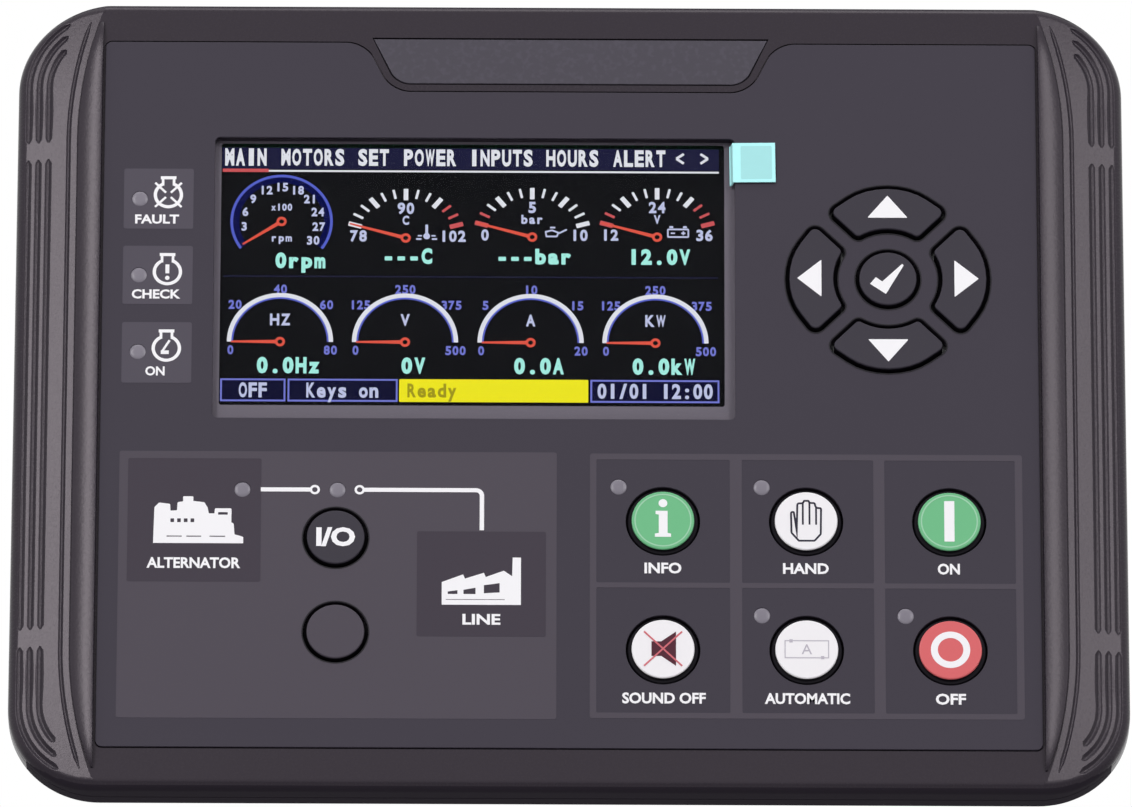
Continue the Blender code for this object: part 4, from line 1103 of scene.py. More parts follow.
def ridge(side):
    """A grip ridge, which bends in and tapers towards both tips."""
    shape = bmesh.new()
    loops = []
    reach = RIDGE_TIP - RIDGE_STRAIGHT
    turns = [math.pi / 2 * station / RIDGE_STATIONS for station in range(RIDGE_STATIONS + 1)]
    upper = [RIDGE_STRAIGHT + reach * math.sin(turn) for turn in turns]
    foot = WEB_BACK + RIDGE_ROOT - FACE_DEPTH
    for height in [-station for station in reversed(upper)] + upper:
        left_over = min(1.0, 3 * (RIDGE_TIP - abs(height)) / reach)
        swell = math.sqrt(max(0.0, left_over * (2 - left_over)))
        width = (RIDGE_WIDTH - side_bend(height)) * (RIDGE_TIP_WIDTH + (1 - RIDGE_TIP_WIDTH) * swell)
        section = ridge_section(width, RIDGE_RISE * (RIDGE_TIP_RISE + (1 - RIDGE_TIP_RISE) * swell))
        ring = [(0.0, foot)] + section + [(section[-1][0], foot)]
        places = [(side * (RIDGE_INNER + across), height, FACE_DEPTH + up) for across, up in ring]
        verts = [shape.verts.new(place) for place in places]
        loops.append([shape.edges.new((verts[i - 1], verts[i])) for i in range(len(verts))])
    for first, second in zip(loops, loops[1:]):
        bmesh.ops.bridge_loops(shape, edges=first + second)
    bmesh.ops.holes_fill(shape, edges=loops[0] + loops[-1], sides=0)
    return shape


def groove_paths(side):
    """Centre lines of the grip grooves: straight at the side, then round each corner."""
    paths = []
    low = GROOVE_SPLIT - GROOVE_BRIDGE / 2
    high = GROOVE_SPLIT + GROOVE_BRIDGE / 2
    for inset, end_angle in zip(GROOVE_INSETS, GROOVE_END_ANGLES):
        across, radius = RIM_HALF[0] - inset, RIM_CORNER - inset
        heights = (-low, GROOVE_EASE - low, low - GROOVE_EASE, low)
        paths.append([(side * across, height) for height in heights])
        for up in (1, -1):
            path = [(side * across, up * high), (side * across, up * (high + GROOVE_EASE))]
            for step in range(GROOVE_TURNS + 1):
                turn = math.radians(end_angle) * step / GROOVE_TURNS
                x = RIM_HALF[0] - RIM_CORNER + radius * math.cos(turn)
                path.append((side * x, up * (RIM_HALF[1] - RIM_CORNER + radius * math.sin(turn))))
            paths.append(path)
    return paths


def border_path(side):
    """Centre line of the fine groove between a flank and its ridge."""
    stations = range(-BORDER_STATIONS, BORDER_STATIONS + 1)
    heights = [BORDER_GROOVE_TOP * station / BORDER_STATIONS for station in stations]
    return [(side * (BORDER_GROOVE - side_bend(height)), height) for height in heights]


def soft_groove(reach, depth):
    """The section of a groove cutter: a narrow bottom that opens into soft shoulders."""
    points = []
    for step in range(GROOVE_STEPS + 1):
        share = 2 * step / GROOVE_STEPS - 1
        points.append((reach * share, GROOVE_LIFT - depth * math.cos(math.pi / 2 * share) ** 2))
    return points + [(reach, CUT_PAST), (-reach, CUT_PAST)]


def groove_cutter(paths, reach, depth):
    """Cutters along paths on the rim's face, which follow its slope and ease out at their ends."""
    shape = bmesh.new()
    for path in paths:
        places = [Vector(place) for place in path]
        last = len(places) - 1
        loops = []
        for index, place in enumerate(places):
            share = GROOVE_END_SHARE if index in (0, last) else 1.0
            along = places[min(index + 1, last)] - places[max(index - 1, 0)]
            across = Vector((along.y, -along.x)).normalized()
            verts = []
            for side, up in soft_groove(reach * share, depth * share):
                x, height = place + across * side
                verts.append(shape.verts.new((x, height, flank_depth(x, height) + up)))
            loops.append([shape.edges.new((verts[i - 1], verts[i])) for i in range(len(verts))])
        for first, second in zip(loops, loops[1:]):
            bmesh.ops.bridge_loops(shape, edges=first + second)
        bmesh.ops.holes_fill(shape, edges=loops[0] + loops[-1], sides=0)
    return shape


def overlay_corners(grow=0.0):
    """The overlay's edge, grown on all sides: its notch follows the name plate."""
    half_x, half_up = OVERLAY_HIGH.x + grow, OVERLAY_HIGH.y + grow
    slant = (PLATE_HIGH.x - PLATE_BOTTOM_HALF) / (PLATE_HIGH.y - PLATE_LOW.y)
    widen = (NOTCH_RIM - grow) * math.hypot(1, slant)
    low = PLATE_LOW.y - NOTCH_RIM + grow
    half_low = PLATE_BOTTOM_HALF + slant * (low - PLATE_LOW.y) + widen
    half_top = PLATE_BOTTOM_HALF + slant * (half_up - PLATE_LOW.y) + widen
    corner = OVERLAY_CORNER + grow
    right = [(half_x, -half_up, corner), (half_x, half_up, corner)]
    return mirrored(right + [(half_top, half_up, NOTCH_CORNER), (half_low, low, NOTCH_CORNER)])


def plate_corners(grow=0.0):
    low = (PLATE_BOTTOM_HALF + grow, PLATE_LOW.y - grow, PLATE_CORNER + grow)
    return mirrored([low, (PLATE_HIGH.x + grow, PLATE_HIGH.y + grow, 0.0)])


def opening_corners(grow=0.0, radius=OPENING_CORNER):
    left, low = OPENING_LOW[0] - grow, OPENING_LOW[1] - grow
    return boxed((left, low, OPENING_HIGH[0] + grow, OPENING_HIGH[1] + grow), radius)


def sector_corners(inset):
    """The upper sector of the direction pad about the pad's centre, drawn in from its hole by an inset."""
    inner, side, brow = PAD_INNER + inset, PAD_SPOKE + inset, PAD_BROW - inset
    heel_angle = math.radians(45) - math.asin(side / inner)
    heel = (inner * math.sin(heel_angle), inner * math.cos(heel_angle), max(PAD_HEEL - inset, inset))
    peak = PAD_OUTER - inset + brow * (1 / math.cos(PAD_SLOPE) - 1)
    corner_x = (peak - side * math.sqrt(2)) / (1 + math.tan(PAD_SLOPE))
    corner = (corner_x, peak - corner_x * math.tan(PAD_SLOPE), PAD_CORNER - inset)
    arc = []
    for step in range(1, PAD_ARC_STEPS):
        angle = heel_angle * (1 - 2 * step / PAD_ARC_STEPS)
        arc.append((-inner * math.sin(angle), inner * math.cos(angle), 0.0))
    left_heel, left_corner = (-heel[0], heel[1], heel[2]), (-corner[0], corner[1], corner[2])
    return [left_heel] + arc + [heel, corner, (0.0, peak, brow), left_corner]


def face_holes():
    """The outlines of every key hole and lamp hole in the face."""
    outlines = [round_hole(middle(f"key_{name}"), COLOUR_KEY_HOLE) for name in COLOUR_KEYS]
    outlines += [round_hole(middle(f"key_{name}"), DARK_KEY_HOLE) for name in DARK_KEYS]
    outlines += [moved(sector_corners(0.0), PAD_CENTRE, turns) for turns in range(4)]
    return outlines + [round_hole(middle(f"lamp_{name}"), LAMP_HOLE, 24) for name in LAMPS]


def screw_places():
    return [(sx * POST_CENTRE[0], sz * POST_CENTRE[1]) for sx in (-1, 1) for sz in (-1, 1)]


def make_front_moulding():
    shape = combined(rim_body(), [ridge(-1), ridge(1)], "UNION")
    reach, depth = sizes().groove_reach / MM, sizes().groove_depth / MM
    grooves = [path for side in (-1, 1) for path in groove_paths(side)]
    past = FACE_DEPTH + CUT_PAST
    through = face_holes() + [opening_corners()]
    pilots = [round_hole(place, PILOT_RADIUS, 20) for place in screw_places()]
    tools = [
        groove_cutter(grooves, reach, depth),
        groove_cutter([border_path(-1), border_path(1)], reach * 0.7, depth * 0.8),
        solid(overlay_corners(GAP), RECESS_FLOOR, past),
        solid(plate_corners(GAP), PLATE_LOW.z - GAP, past),
        solid(notched(*POCKET_HALF, POST_SIDE), RIM_BACK - CUT_PAST, WEB_BACK),
        solid(opening_corners(WINDOW_LAND + GAP, 0.0), WEB_BACK - CUT_PAST, LIP_BACK),
        solids(through, WEB_BACK - CUT_PAST, past),
        solids(pilots, RIM_BACK - CUT_PAST, RIM_BACK + PILOT_DEPTH),
    ]
    shape = combined(shape, tools)
    parts = [(shape, moulding())]
    piece = build_piece(
        "front_moulding", parts, replaces=["front_bezel"], smooth=40, crease=borders_flat,
    )
    piece.data.materials.append(moulding_wall())
    for face in piece.data.polygons:
        face.material_index = int(abs(face.normal.z) > WALL_FACING)


def make_overlay_sheet():
    shape = bmesh.new()
    add_sheet(shape, [overlay_corners(), opening_corners()] + face_holes())
    raised(shape, OVERLAY_LOW.z, OVERLAY_HIGH.z)
    soften(shape, corner_edges(shape, OVERLAY_HIGH.z), sizes().overlay_edge / MM, 2)
    parts = [(shape, overlay_film())]
    build_piece("overlay_sheet", parts, replaces=["face_overlay"], smooth=20)


def make_name_plate():
    shape = solid(plate_corners(), PLATE_LOW.z, PLATE_HIGH.z, 10)
    soften(shape, corner_edges(shape, PLATE_HIGH.z), PLATE_EDGE, 3)
    parts = [(shape, name_plate_film())]
    build_piece("blank_name_plate", parts, replaces=["name_plate"], smooth=20)


# Print on the overlay


def printed(shape, layer):
    """Ink over the overlay's face: a later layer lies a little higher."""
    thickness = sizes().print_thickness / MM
    return raised(shape, OVERLAY_HIGH.z - thickness / 2, OVERLAY_HIGH.z + thickness * layer, INK_HAIR)


def clear_of_holes(box, radius):
    """A field with the holes that lie in it left open."""
    left, low, right, high = box
    inside = []
    for corners in face_holes():
        x = sum(corner[0] for corner in corners) / len(corners)
        up = sum(corner[1] for corner in corners) / len(corners)
        if left < x < right and low < up < high:
            inside.append(corners)
    return [boxed(box, radius)] + inside


def make_fields():
    zone, dark, lamp, black = (bmesh.new() for _ in range(4))
    add_sheet(zone, clear_of_holes(ZONE_FIELD, 0.5))
    cells = [boxed((left, low, right, high), 0.3) for left, right in GRID_COLUMNS for low, high in GRID_ROWS]
    add_sheet(zone, [boxed(GRID_FRAME, 0.6)] + cells)
    for box in DARK_TILES:
        add_sheet(dark, clear_of_holes(box, 0.4))
    for box in LAMP_TILES:
        add_sheet(lamp, clear_of_holes(box, 0.5))
    # Black lines just outside the dark keys' holes and round the pad's sectors: partly a printed outline,
    # partly painted shade of the dark gap round each key.
    for name in DARK_KEYS:
        add_arc(black, middle(f"key_{name}"), DARK_KEY_HOLE + BLACK_RING / 2, BLACK_RING, steps=56)
    for turns in range(4):
        add_sheet(black, [moved(sector_corners(grow), PAD_CENTRE, turns) for grow in (-BLACK_RING, -0.01)])
    parts = [
        (printed(zone, 1), ink("Zone ink", colours().zone_field)),
        (printed(dark, 1.6), ink("Dark ink", colours().dark_tile)),
        (printed(lamp, 1), ink("Lamp tile ink", colours().lamp_tile)),
        (printed(black, 2), ink("Line ink", colours().key_side)),
    ]
    build_piece("printed_fields", parts)


def add_engine_symbol(shape, centre):
    """A round engine with its filler cap on top."""
    x, up = centre
    add_arc(shape, centre, ENGINE_RADIUS, ENGINE_LINE, 115, 425)
    neck = ENGINE_RADIUS * 0.42
    low, top = up + ENGINE_RADIUS * 0.78, up + ENGINE_RADIUS + 1.25
    for side in (-1, 1):
        add_bar(shape, (x + side * neck, low), (x + side * neck, top), ENGINE_LINE * 0.8)
    add_bar(shape, (x - neck * 1.42, top), (x + neck * 1.42, top), ENGINE_LINE)


def add_engine_row(shape):
    fault, check, running = ((ENGINE_X, up) for up in ENGINE_HEIGHTS)
    for centre in (fault, check, running):
        add_engine_symbol(shape, centre)
    for turn in (45, 135, 225, 315):
        way = Vector((math.cos(math.radians(turn)), math.sin(math.radians(turn))))
        add_bar(shape, Vector(fault) + way * 0.75, Vector(fault) + way * 4.1, 0.5)
    x, up = check
    add_bar(shape, (x, up + 1.75), (x, up - 0.35), 0.85)
    add_disc(shape, (x, up - 1.45), 0.5, 16)
    x, up = running
    add_bar(shape, (x + 0.7, up + 1.9), (x - 0.9, up - 0.75), 0.5)
    add_bar(shape, (x - 1.2, up - 0.95), (x + 0.55, up - 0.95), 0.85)


def add_circuit(shape):
    """The line from the alternator through the contactor to the load."""
    up, bend, ring = CIRCUIT_HEIGHT, 1.3, 0.85
    left, right = CIRCUIT_NODES
    for x in CIRCUIT_NODES:
        add_arc(shape, (x, up), ring, 0.52, steps=24)
    add_bar(shape, (CIRCUIT_START, up), (left - ring - 0.2, up), CIRCUIT_LINE)
    add_bar(shape, (right + ring + 0.2, up), (CIRCUIT_TURN - bend, up), CIRCUIT_LINE)
    add_arc(shape, (CIRCUIT_TURN - bend, up - bend), bend, CIRCUIT_LINE, 0, 90, 10)
    add_bar(shape, (CIRCUIT_TURN, up - bend), (CIRCUIT_TURN, CIRCUIT_END), CIRCUIT_LINE)


def add_genset(shape, place):
    """An engine and alternator on their base, with a row of ports."""
    body = [
        (0.2, 0.0, 0), (19.7, 0.0, 0), (19.7, 1.5, 0.2), (17.8, 2.1, 0), (17.6, 4.6, 0.3),
        (17.1, 4.9, 0), (17.1, 8.2, 0.3), (13.5, 8.2, 0.3), (13.4, 7.0, 0), (12.2, 7.0, 0),
        (11.9, 8.4, 0.3), (11.2, 9.6, 0.3), (8.8, 9.9, 0), (8.8, 11.0, 0.2), (6.6, 11.0, 0.2),
        (6.6, 9.8, 0), (5.4, 9.6, 0.3), (5.3, 7.7, 0), (3.9, 7.6, 0), (3.8, 9.2, 0.3), (1.4, 9.5, 0.4),
        (0.4, 8.4, 0.3),
    ]
    ports = [boxed((3.9 + 1.45 * i, 4.9, 4.7 + 1.45 * i, 5.8), 0.1) for i in range(4)]
    ports += [boxed((3.1, 1.5, 6.4, 1.75)), boxed((7.4, 1.5, 10.6, 1.75)), boxed((12.4, 1.5, 15.8, 1.75))]
    ports += [boxed((14.2, 6.7, 16.3, 7.3), 0.1)]
    add_sheet(shape, [moved(corners, place) for corners in [body] + ports], 4)


def add_factory(shape, place):
    """A works hall with a saw-tooth roof and a chimney."""
    hall = [
        (0.0, 0.0, 0), (17.1, 0.0, 0), (17.1, 11.1, 0), (15.3, 11.1, 0), (15.2, 6.7, 0), (13.4, 8.0, 0),
        (9.5, 6.5, 0), (9.1, 7.5, 0), (5.0, 6.1, 0), (4.6, 7.1, 0), (0.0, 5.3, 0),
    ]
    windows = (
        [(1.3, 2.5, 0), (3.4, 2.5, 0), (3.4, 3.4, 0), (1.3, 3.1, 0)],
        [(4.7, 2.5, 0), (7.3, 2.5, 0), (7.3, 4.0, 0), (4.7, 3.5, 0)],
        [(9.1, 2.7, 0), (12.5, 2.9, 0), (12.5, 5.1, 0), (9.1, 4.6, 0)],
        boxed((0.9, 1.15, 13.6, 1.3)),
    )
    add_sheet(shape, [moved(corners, place) for corners in [hall, *windows]])


def make_lettering():
    shape = bmesh.new()
    add_engine_row(shape)
    add_circuit(shape)
    add_genset(shape, GENSET_PLACE)
    add_factory(shape, FACTORY_PLACE)
    for words, x, up, width in LABELS:
        add_words(shape, words, (x, up), CAPITAL, width)
    for words, up, width in LAMP_LABELS:
        add_words(shape, words, (LAMP_LABEL_X, up), CAPITAL * 0.86, width)
    parts = [(printed(shape, 2.2), white_ink())]
    build_piece("white_print", parts)


# Screen


def on_screen(shape, back, front):
    """A drawing in screen pixels, x to the right and y up from the picture's top left corner, made solid."""
    bmesh.ops.remove_doubles(shape, verts=shape.verts, dist=1e-4)
    place = Matrix.Translation((PICTURE_LEFT, PICTURE_TOP, 0.0)) @ Matrix.Scale(PICTURE_PIXEL, 4)
    bmesh.ops.transform(shape, matrix=place, verts=shape.verts)
    return raised(shape, LCD_FRONT + back, LCD_FRONT + front, INK_HAIR)


MENU = (
    ("MAIN", 23), ("MOTORS", 87), ("SET", 145), ("POWER", 199), ("INPUTS", 267), ("HOURS", 335),
    ("ALERT", 399),
)
MENU_HEIGHT = -14
SPEED_DIAL = (57.7, -81.4)
FAN_GAUGES = (
    ((176.2, -98.1), ("78", "90", "102"), 0, 3, "C", "--- C"),
    ((296.8, -96.6), ("0", "5", "10"), 2, 0, "bar", "--- bar"),
    ((416.0, -96.2), ("12", "24", "36"), 2, 3, "V", "12.0 V"),
)
ARC_GAUGES = (
    ((57.3, -206.6), ("0", "20", "40", "60", "80"), "HZ", "0.0Hz"),
    ((176.2, -206.6), ("0", "125", "250", "375", "500"), "V", "0V"),
    ((295.6, -206.6), ("0", "5", "10", "15", "20"), "A", "0.0A"),
    ((414.3, -206.6), ("0", "125", "250", "375", "500"), "KW", "0.0kW"),
)
STATUS = (("OFF", 32, 9.4), ("Keys on", 117, 10.0), ("01/01 12:00", 414, 10.1))
STATUS_BOXES = ((1, 63), (65, 169.5), (352.5, 475))
STATUS_LOW, STATUS_HIGH = -268.5, -245
YELLOW_BOX = (171, 350.5)


def around(centre, radius, degrees, flat=1.0):
    angle = math.radians(degrees)
    return (centre[0] + radius * math.cos(angle), centre[1] + radius * flat * math.sin(angle))


def add_needle(shape, hub, degrees, reach, flat=1.0):
    """A tapered needle with a ring at its hub."""
    add_arc(shape, hub, 3.6, 2.4, steps=20)
    tip = Vector(around(hub, reach, degrees, flat))
    start = Vector(hub) + (tip - Vector(hub)).normalized() * 4.6
    side = (tip - start).orthogonal().normalized()
    ends = [start + side * 1.7, start - side * 1.7, tip - side * 0.8, tip + side * 0.8]
    add_outline(shape, [(end.x, end.y, 0.0) for end in ends])


def add_speed_dial(layers):
    centre = SPEED_DIAL
    add_arc(layers["glow"], centre, 43.6, 6.4, -36, 216, 44)
    add_arc(layers["blue"], centre, 47.6, 2.6, -36, 216, 48)
    for number in range(1, 11):
        add_fixed(layers["pale"], str(number * 3), around(centre, 36, 213 - 24.6 * number), 8, 6.6)
    add_fixed(layers["pale"], "x100", (centre[0], centre[1] + 15), 6.4, 5.2)
    add_fixed(layers["pale"], "rpm", (centre[0], centre[1] - 17), 7.2, 7.0)
    add_needle(layers["red"], centre, 213, 44)
    add_fixed(layers["value"], "0rpm", (76, -122), 14, 12.4, 0.075)


def add_fan_gauge(layers, gauge):
    hub, numbers, red_left, red_right, unit, value = gauge
    for tick in range(13):
        bold = tick % 3 == 0
        degrees = 163 - 146 * tick / 12
        layer = layers["pink"] if tick < red_left or tick > 12 - red_right else layers["white"]
        inner = around(hub, 44 if bold else 46.5, degrees, 0.9)
        add_bar(layer, inner, around(hub, 57, degrees, 0.9), 4.4 if bold else 2.3)
    add_fixed(layers["pale"], numbers[0], (hub[0] - 45, hub[1] + 2), 10.5, 8.6)
    add_fixed(layers["pale"], numbers[1], (hub[0], hub[1] + 31), 10.5, 8.6)
    add_fixed(layers["pale"], numbers[2], (hub[0] + 45, hub[1] + 2), 10.5, 8.6)
    add_fixed(layers["pale"], unit, (hub[0], hub[1] + 18.5), 8.4, 7.4)
    add_needle(layers["red"], hub, 163, 56, 0.9)
    add_fixed(layers["value"], value.replace(" ", ""), (hub[0] + 2, -117), 14, 12.2, 0.075)


def add_arc_gauge(layers, gauge):
    hub, numbers, unit, value = gauge
    add_arc(layers["white"], hub, 48.4, 4.2, 0, 180, 44)
    add_arc(layers["blue"], hub, 45.4, 1.6, 0, 180, 44)
    for place, number in zip(((-47, -8.6), (-43, 38.5), (0, 54.7), (44, 38.5), (48, -8.6)), numbers):
        add_fixed(layers["number"], number, (hub[0] + place[0], hub[1] + place[1]), 8.4, 6.8)
    add_fixed(layers["pale"], unit, (hub[0], hub[1] + 23), 11, 10.5)
    add_needle(layers["red"], hub, 180, 46.5)
    add_fixed(layers["value"], value, (hub[0] + 8, -231), 14.5, 12.3, 0.075)


def add_small_icons(layer):
    """Thermometer, oil can and battery beside the three fan gauges."""
    thermometer, can, battery = (Vector((hub[0] + 20, hub[1] + 5)) for hub, *_ in FAN_GAUGES)
    add_bar(layer, thermometer + Vector((0, -1)), thermometer + Vector((0, 9)), 2.6)
    add_disc(layer, thermometer + Vector((0, -3)), 3.2, 16)
    for side in (-1, 1):
        for near, far, up, width in ((5, 10, -6, 1.6), (4.5, 8.5, -2.6, 1.3)):
            ends = [thermometer + Vector((side * across, up)) for across in (near, far)]
            add_bar(layer, *ends, width)
    x, up = can
    body = [(x - 7, up - 5, 0), (x + 4, up - 5, 0), (x + 6, up, 0), (x - 1, up + 3, 0), (x - 8, up + 1, 0)]
    add_line_round(layer, body, 1.5, 2)
    add_bar(layer, (x + 5.5, up - 1), (x + 13, up + 3), 1.5)
    add_bar(layer, (x - 3, up + 5), (x + 2, up + 5), 1.5)
    x, up = battery
    add_line_round(layer, boxed((x - 10.5, up - 5.5, x + 10.5, up + 4), 1.5), 1.5, 3)
    for side in (-1, 1):
        add_bar(layer, (x + side * 6.5 - 1.8, up + 5.6), (x + side * 6.5 + 1.8, up + 5.6), 2)
        add_bar(layer, (x + side * 5 - 2, up - 0.8), (x + side * 5 + 2, up - 0.8), 1.3)
    add_bar(layer, (x + 5, up - 2.8), (x + 5, up + 1.2), 1.3)


def add_bars(layers):
    """The menu row at the top and the status row at the bottom."""
    add_outline(layers["navy"], boxed((0.5, -26.5, PICTURE_WIDTH - 5, -4)))
    for index, (words, x) in enumerate(MENU):
        add_fixed(layers["white"], words, (x, MENU_HEIGHT), 15.5, 10.3, 0.085 if index == 0 else 0.06)
    for x, turn in ((438, 1), (461, -1)):
        for up in (5, -5):
            add_bar(layers["white"], (x - 3.5 * turn, MENU_HEIGHT), (x + 3.5 * turn, MENU_HEIGHT + up), 2.4)
    add_bar(layers["white"], (44, -28.4), (PICTURE_WIDTH - 5, -28.4), 1.7)
    add_bar(layers["pink"], (1, -28), (45, -28), 3.2)
    add_bar(layers["navy"], (3, -138.5), (PICTURE_WIDTH - 6, -138.5), 1.2)
    for left, right in STATUS_BOXES:
        box = boxed((left, STATUS_LOW, right, STATUS_HIGH), 0.0)
        add_line_round(layers["number"], box, 1.7)
        add_outline(layers["deep"], boxed((left + 1, STATUS_LOW + 1, right - 1, STATUS_HIGH - 1)))
    add_outline(layers["yellow"], boxed((YELLOW_BOX[0], STATUS_LOW, YELLOW_BOX[1], STATUS_HIGH), 1.0))
    up = (STATUS_LOW + STATUS_HIGH) / 2
    for words, x, pitch in STATUS:
        add_fixed(layers["pale"], words, (x, up), 14, pitch)
    add_fixed(layers["dim"], "Ready", (202, up), 13, 9.6)


def make_picture():
    """The lit picture: fields lie lowest, then lines and numbers, then needles."""
    tints = {
        "navy": (30, 30, 62),
        "deep": (14, 14, 50),
        "glow": (5, 10, 74),
        "yellow": (255, 247, 34),
        "blue": (92, 104, 214),
        "number": (122, 128, 222),
        "pale": (204, 210, 244),
        "white": (240, 242, 250),
        "value": (176, 252, 240),
        "pink": (214, 92, 96),
        "dim": (170, 160, 30),
        "red": (236, 92, 74),
    }
    layers = {name: bmesh.new() for name in tints}
    add_bars(layers)
    add_speed_dial(layers)
    for gauge in FAN_GAUGES:
        add_fan_gauge(layers, gauge)
    for gauge in ARC_GAUGES:
        add_arc_gauge(layers, gauge)
    add_small_icons(layers["pale"])
    parts = []
    for rank, (name, tint) in enumerate(tints.items()):
        shape = on_screen(layers[name], 0.01, 0.03 + 0.012 * rank)
        parts.append((shape, lit_cells(f"Lit {name}", paint(*tint))))
    build_piece("screen_picture", parts)


def make_window():
    window = solid(opening_corners(WINDOW_LAND, 0.0), WINDOW_LOW.z, WINDOW_HIGH.z)
    soften(window, corner_edges(window, WINDOW_HIGH.z), WINDOW_EDGE, 2)
    build_piece("window_glass", [(window, window_glass())], replaces=["display_window"])
    # The grey band between the opening and the lit picture: the window's dark border print, made grey as a
    # painted reflection of the light that the border catches.
    border = bmesh.new()
    add_sheet(border, [opening_corners(0.8, 1.0), boxed((*BORDER_LOW, *BORDER_HIGH), 0.6)])
    raised(border, WINDOW_HIGH.z, WINDOW_HIGH.z + 0.03)
    build_piece("window_border", [(border, ink("Border ink", paint(106, 100, 111)))])


def make_film():
    low, high = extent("screen_film")
    film = solid(boxed((low.x, low.y, high.x, high.y), OPENING_CORNER), low.z, high.z)
    build_piece("peel_film", [(film, peel_film())], replaces=["screen_film"])


def make_pull_tab():
    """The tab: stuck on the film, up over the opening's edge, then flat on the overlay."""
    edge = OPENING_HIGH[0]
    low, top = TAB_LOW.z, TAB_HIGH.z - TAB_THICKNESS
    end = TAB_HIGH.x + TAB_PAST
    line = [(edge - 1.2, low, 0), (edge - 0.75, low, 0.2), (edge - 0.3, top, 0.2), (end, top, 0)]
    over = [(x - (TAB_THICKNESS if 0 < i < 3 else 0.0), depth, r) for i, (x, depth, r) in enumerate(line)]
    line += [(x, depth + TAB_THICKNESS, r) for x, depth, r in reversed(over)]
    shape = solid(line, 0.0, TAB_HIGH.y - TAB_LOW.y, 4)
    upright = Matrix.Rotation(math.radians(90), 4, "X")
    bmesh.ops.transform(shape, matrix=upright, verts=shape.verts)
    bmesh.ops.translate(shape, verts=shape.verts, vec=(0.0, TAB_HIGH.y, 0.0))
    field = bmesh.new()
    left, right = edge + TAB_INSET + TAB_PAST, end - TAB_INSET
    add_outline(field, boxed((left, TAB_LOW.y + TAB_INSET, right, TAB_HIGH.y - TAB_INSET), 0.3))
    raised(field, TAB_HIGH.z - 0.02, TAB_HIGH.z + 0.02)
    about = Vector((edge, TAB_HIGH.y, 0.0))
    turn = Matrix.Translation(about) @ Matrix.Rotation(TAB_TURN, 4, "Z") @ Matrix.Translation(-about)
    for part in (shape, field):
        bmesh.ops.transform(part, matrix=turn, verts=part.verts)
    tint = colours().pull_tab
    pale = tuple(min(1.0, part * 1.25) for part in tint)
    parts = [(shape, tab_film("Tab edge", pale)), (field, tab_film("Tab field", tint))]
    build_piece("peel_tab", parts, replaces=["film_pull_tab"])


# Keys


def make_round_key(name, hole, radius, finish, collar=()):
    """A round key: its skirt behind the web, a dark stem that may have a collar, and a coloured cap."""
    centre = middle(f"key_{name}")
    low = KEY_TOP - KEY_CAP
    skirt = hole + SKIRT_WIDTH
    profile = [(0.0, SKIRT_BACK), (skirt, SKIRT_BACK), (skirt, SKIRT_FRONT), *collar]
    stem = turned(profile + [(radius, low if collar else SKIRT_FRONT), (radius, low), (0.0, low)], centre)
    cap = turned([(0.0, low), (radius, low), (radius, KEY_TOP), (0.0, KEY_TOP)], centre)
    soften(cap, corner_edges(cap, KEY_TOP), sizes().key_edge / MM, 5)
    # The stem and collar are near black: dark rubber, and painted shade down in the gap round the key.
    build_piece(f"{name}_button", [(stem, key_side()), (cap, finish)], f"{name}_key", [f"key_{name}"])


def make_colour_key(name, finish):
    step = OVERLAY_HIGH.z - COLOUR_KEY_STEP
    wide, edge = COLOUR_KEY_COLLAR, 0.2
    collar = [(wide, SKIRT_FRONT), (wide, step - edge), (wide - edge, step), (COLOUR_KEY_DISC, step)]
    cap = coloured_key(finish.replace("_", " ").capitalize(), getattr(colours(), finish))
    make_round_key(name, COLOUR_KEY_HOLE, COLOUR_KEY_DISC, cap, collar)


def make_dark_key(name):
    cap = ink("Blank key ink", colours().zone_field) if name == "blank" else key_rubber()
    make_round_key(name, DARK_KEY_HOLE, DARK_KEY_RADIUS, cap)


def make_sector_key(name, turns):
    outline = moved(sector_corners(PAD_KEY_GAP), PAD_CENTRE, turns)
    stem = solid(outline, SKIRT_BACK + GAP, KEY_TOP - KEY_CAP)
    cap = solid(outline, KEY_TOP - KEY_CAP, KEY_TOP)
    soften(cap, corner_edges(cap, KEY_TOP), sizes().key_edge / MM, 4)
    reach, inner = PAD_OUTER + SKIRT_WIDTH, PAD_INNER - SKIRT_WIDTH / 2
    foot = inner - SKIRT_SPOKE * math.sqrt(2)
    shoulder = foot + (reach - inner) / 2
    right = [(foot, inner, 0), (shoulder, shoulder + SKIRT_SPOKE * math.sqrt(2), 0), (foot, reach, 0)]
    skirt = solid(moved(mirrored(right), PAD_CENTRE, turns), SKIRT_BACK, SKIRT_FRONT)
    # The stem is near black: dark rubber, and painted shade in the gap round the sector key.
    parts = [(combined(stem, [skirt], "UNION"), key_side()), (cap, key_rubber())]
    build_piece(f"{name}_button", parts, f"{name}_key", [f"key_{name}"])


def on_key(shape, centre, layer=1.0):
    """A drawing about a key's centre, made into ink on its top."""
    bmesh.ops.remove_doubles(shape, verts=shape.verts, dist=1e-4)
    bmesh.ops.translate(shape, verts=shape.verts, vec=(centre[0], centre[1], 0.0))
    thickness = sizes().print_thickness / MM
    return raised(shape, KEY_TOP - thickness / 2, KEY_TOP + thickness * layer, INK_HAIR)


def draw_info(white, _):
    add_disc(white, (0.0, 4.0), 0.95)
    letter = [
        (-1.75, -3.9, 0), (1.75, -3.9, 0), (1.75, -3.15, 0), (1.0, -3.0, 0), (1.0, 2.2, 0), (-1.6, 2.2, 0),
        (-1.6, 1.45, 0), (-0.9, 1.3, 0), (-0.9, -3.0, 0), (-1.75, -3.15, 0),
    ]
    add_outline(white, letter)


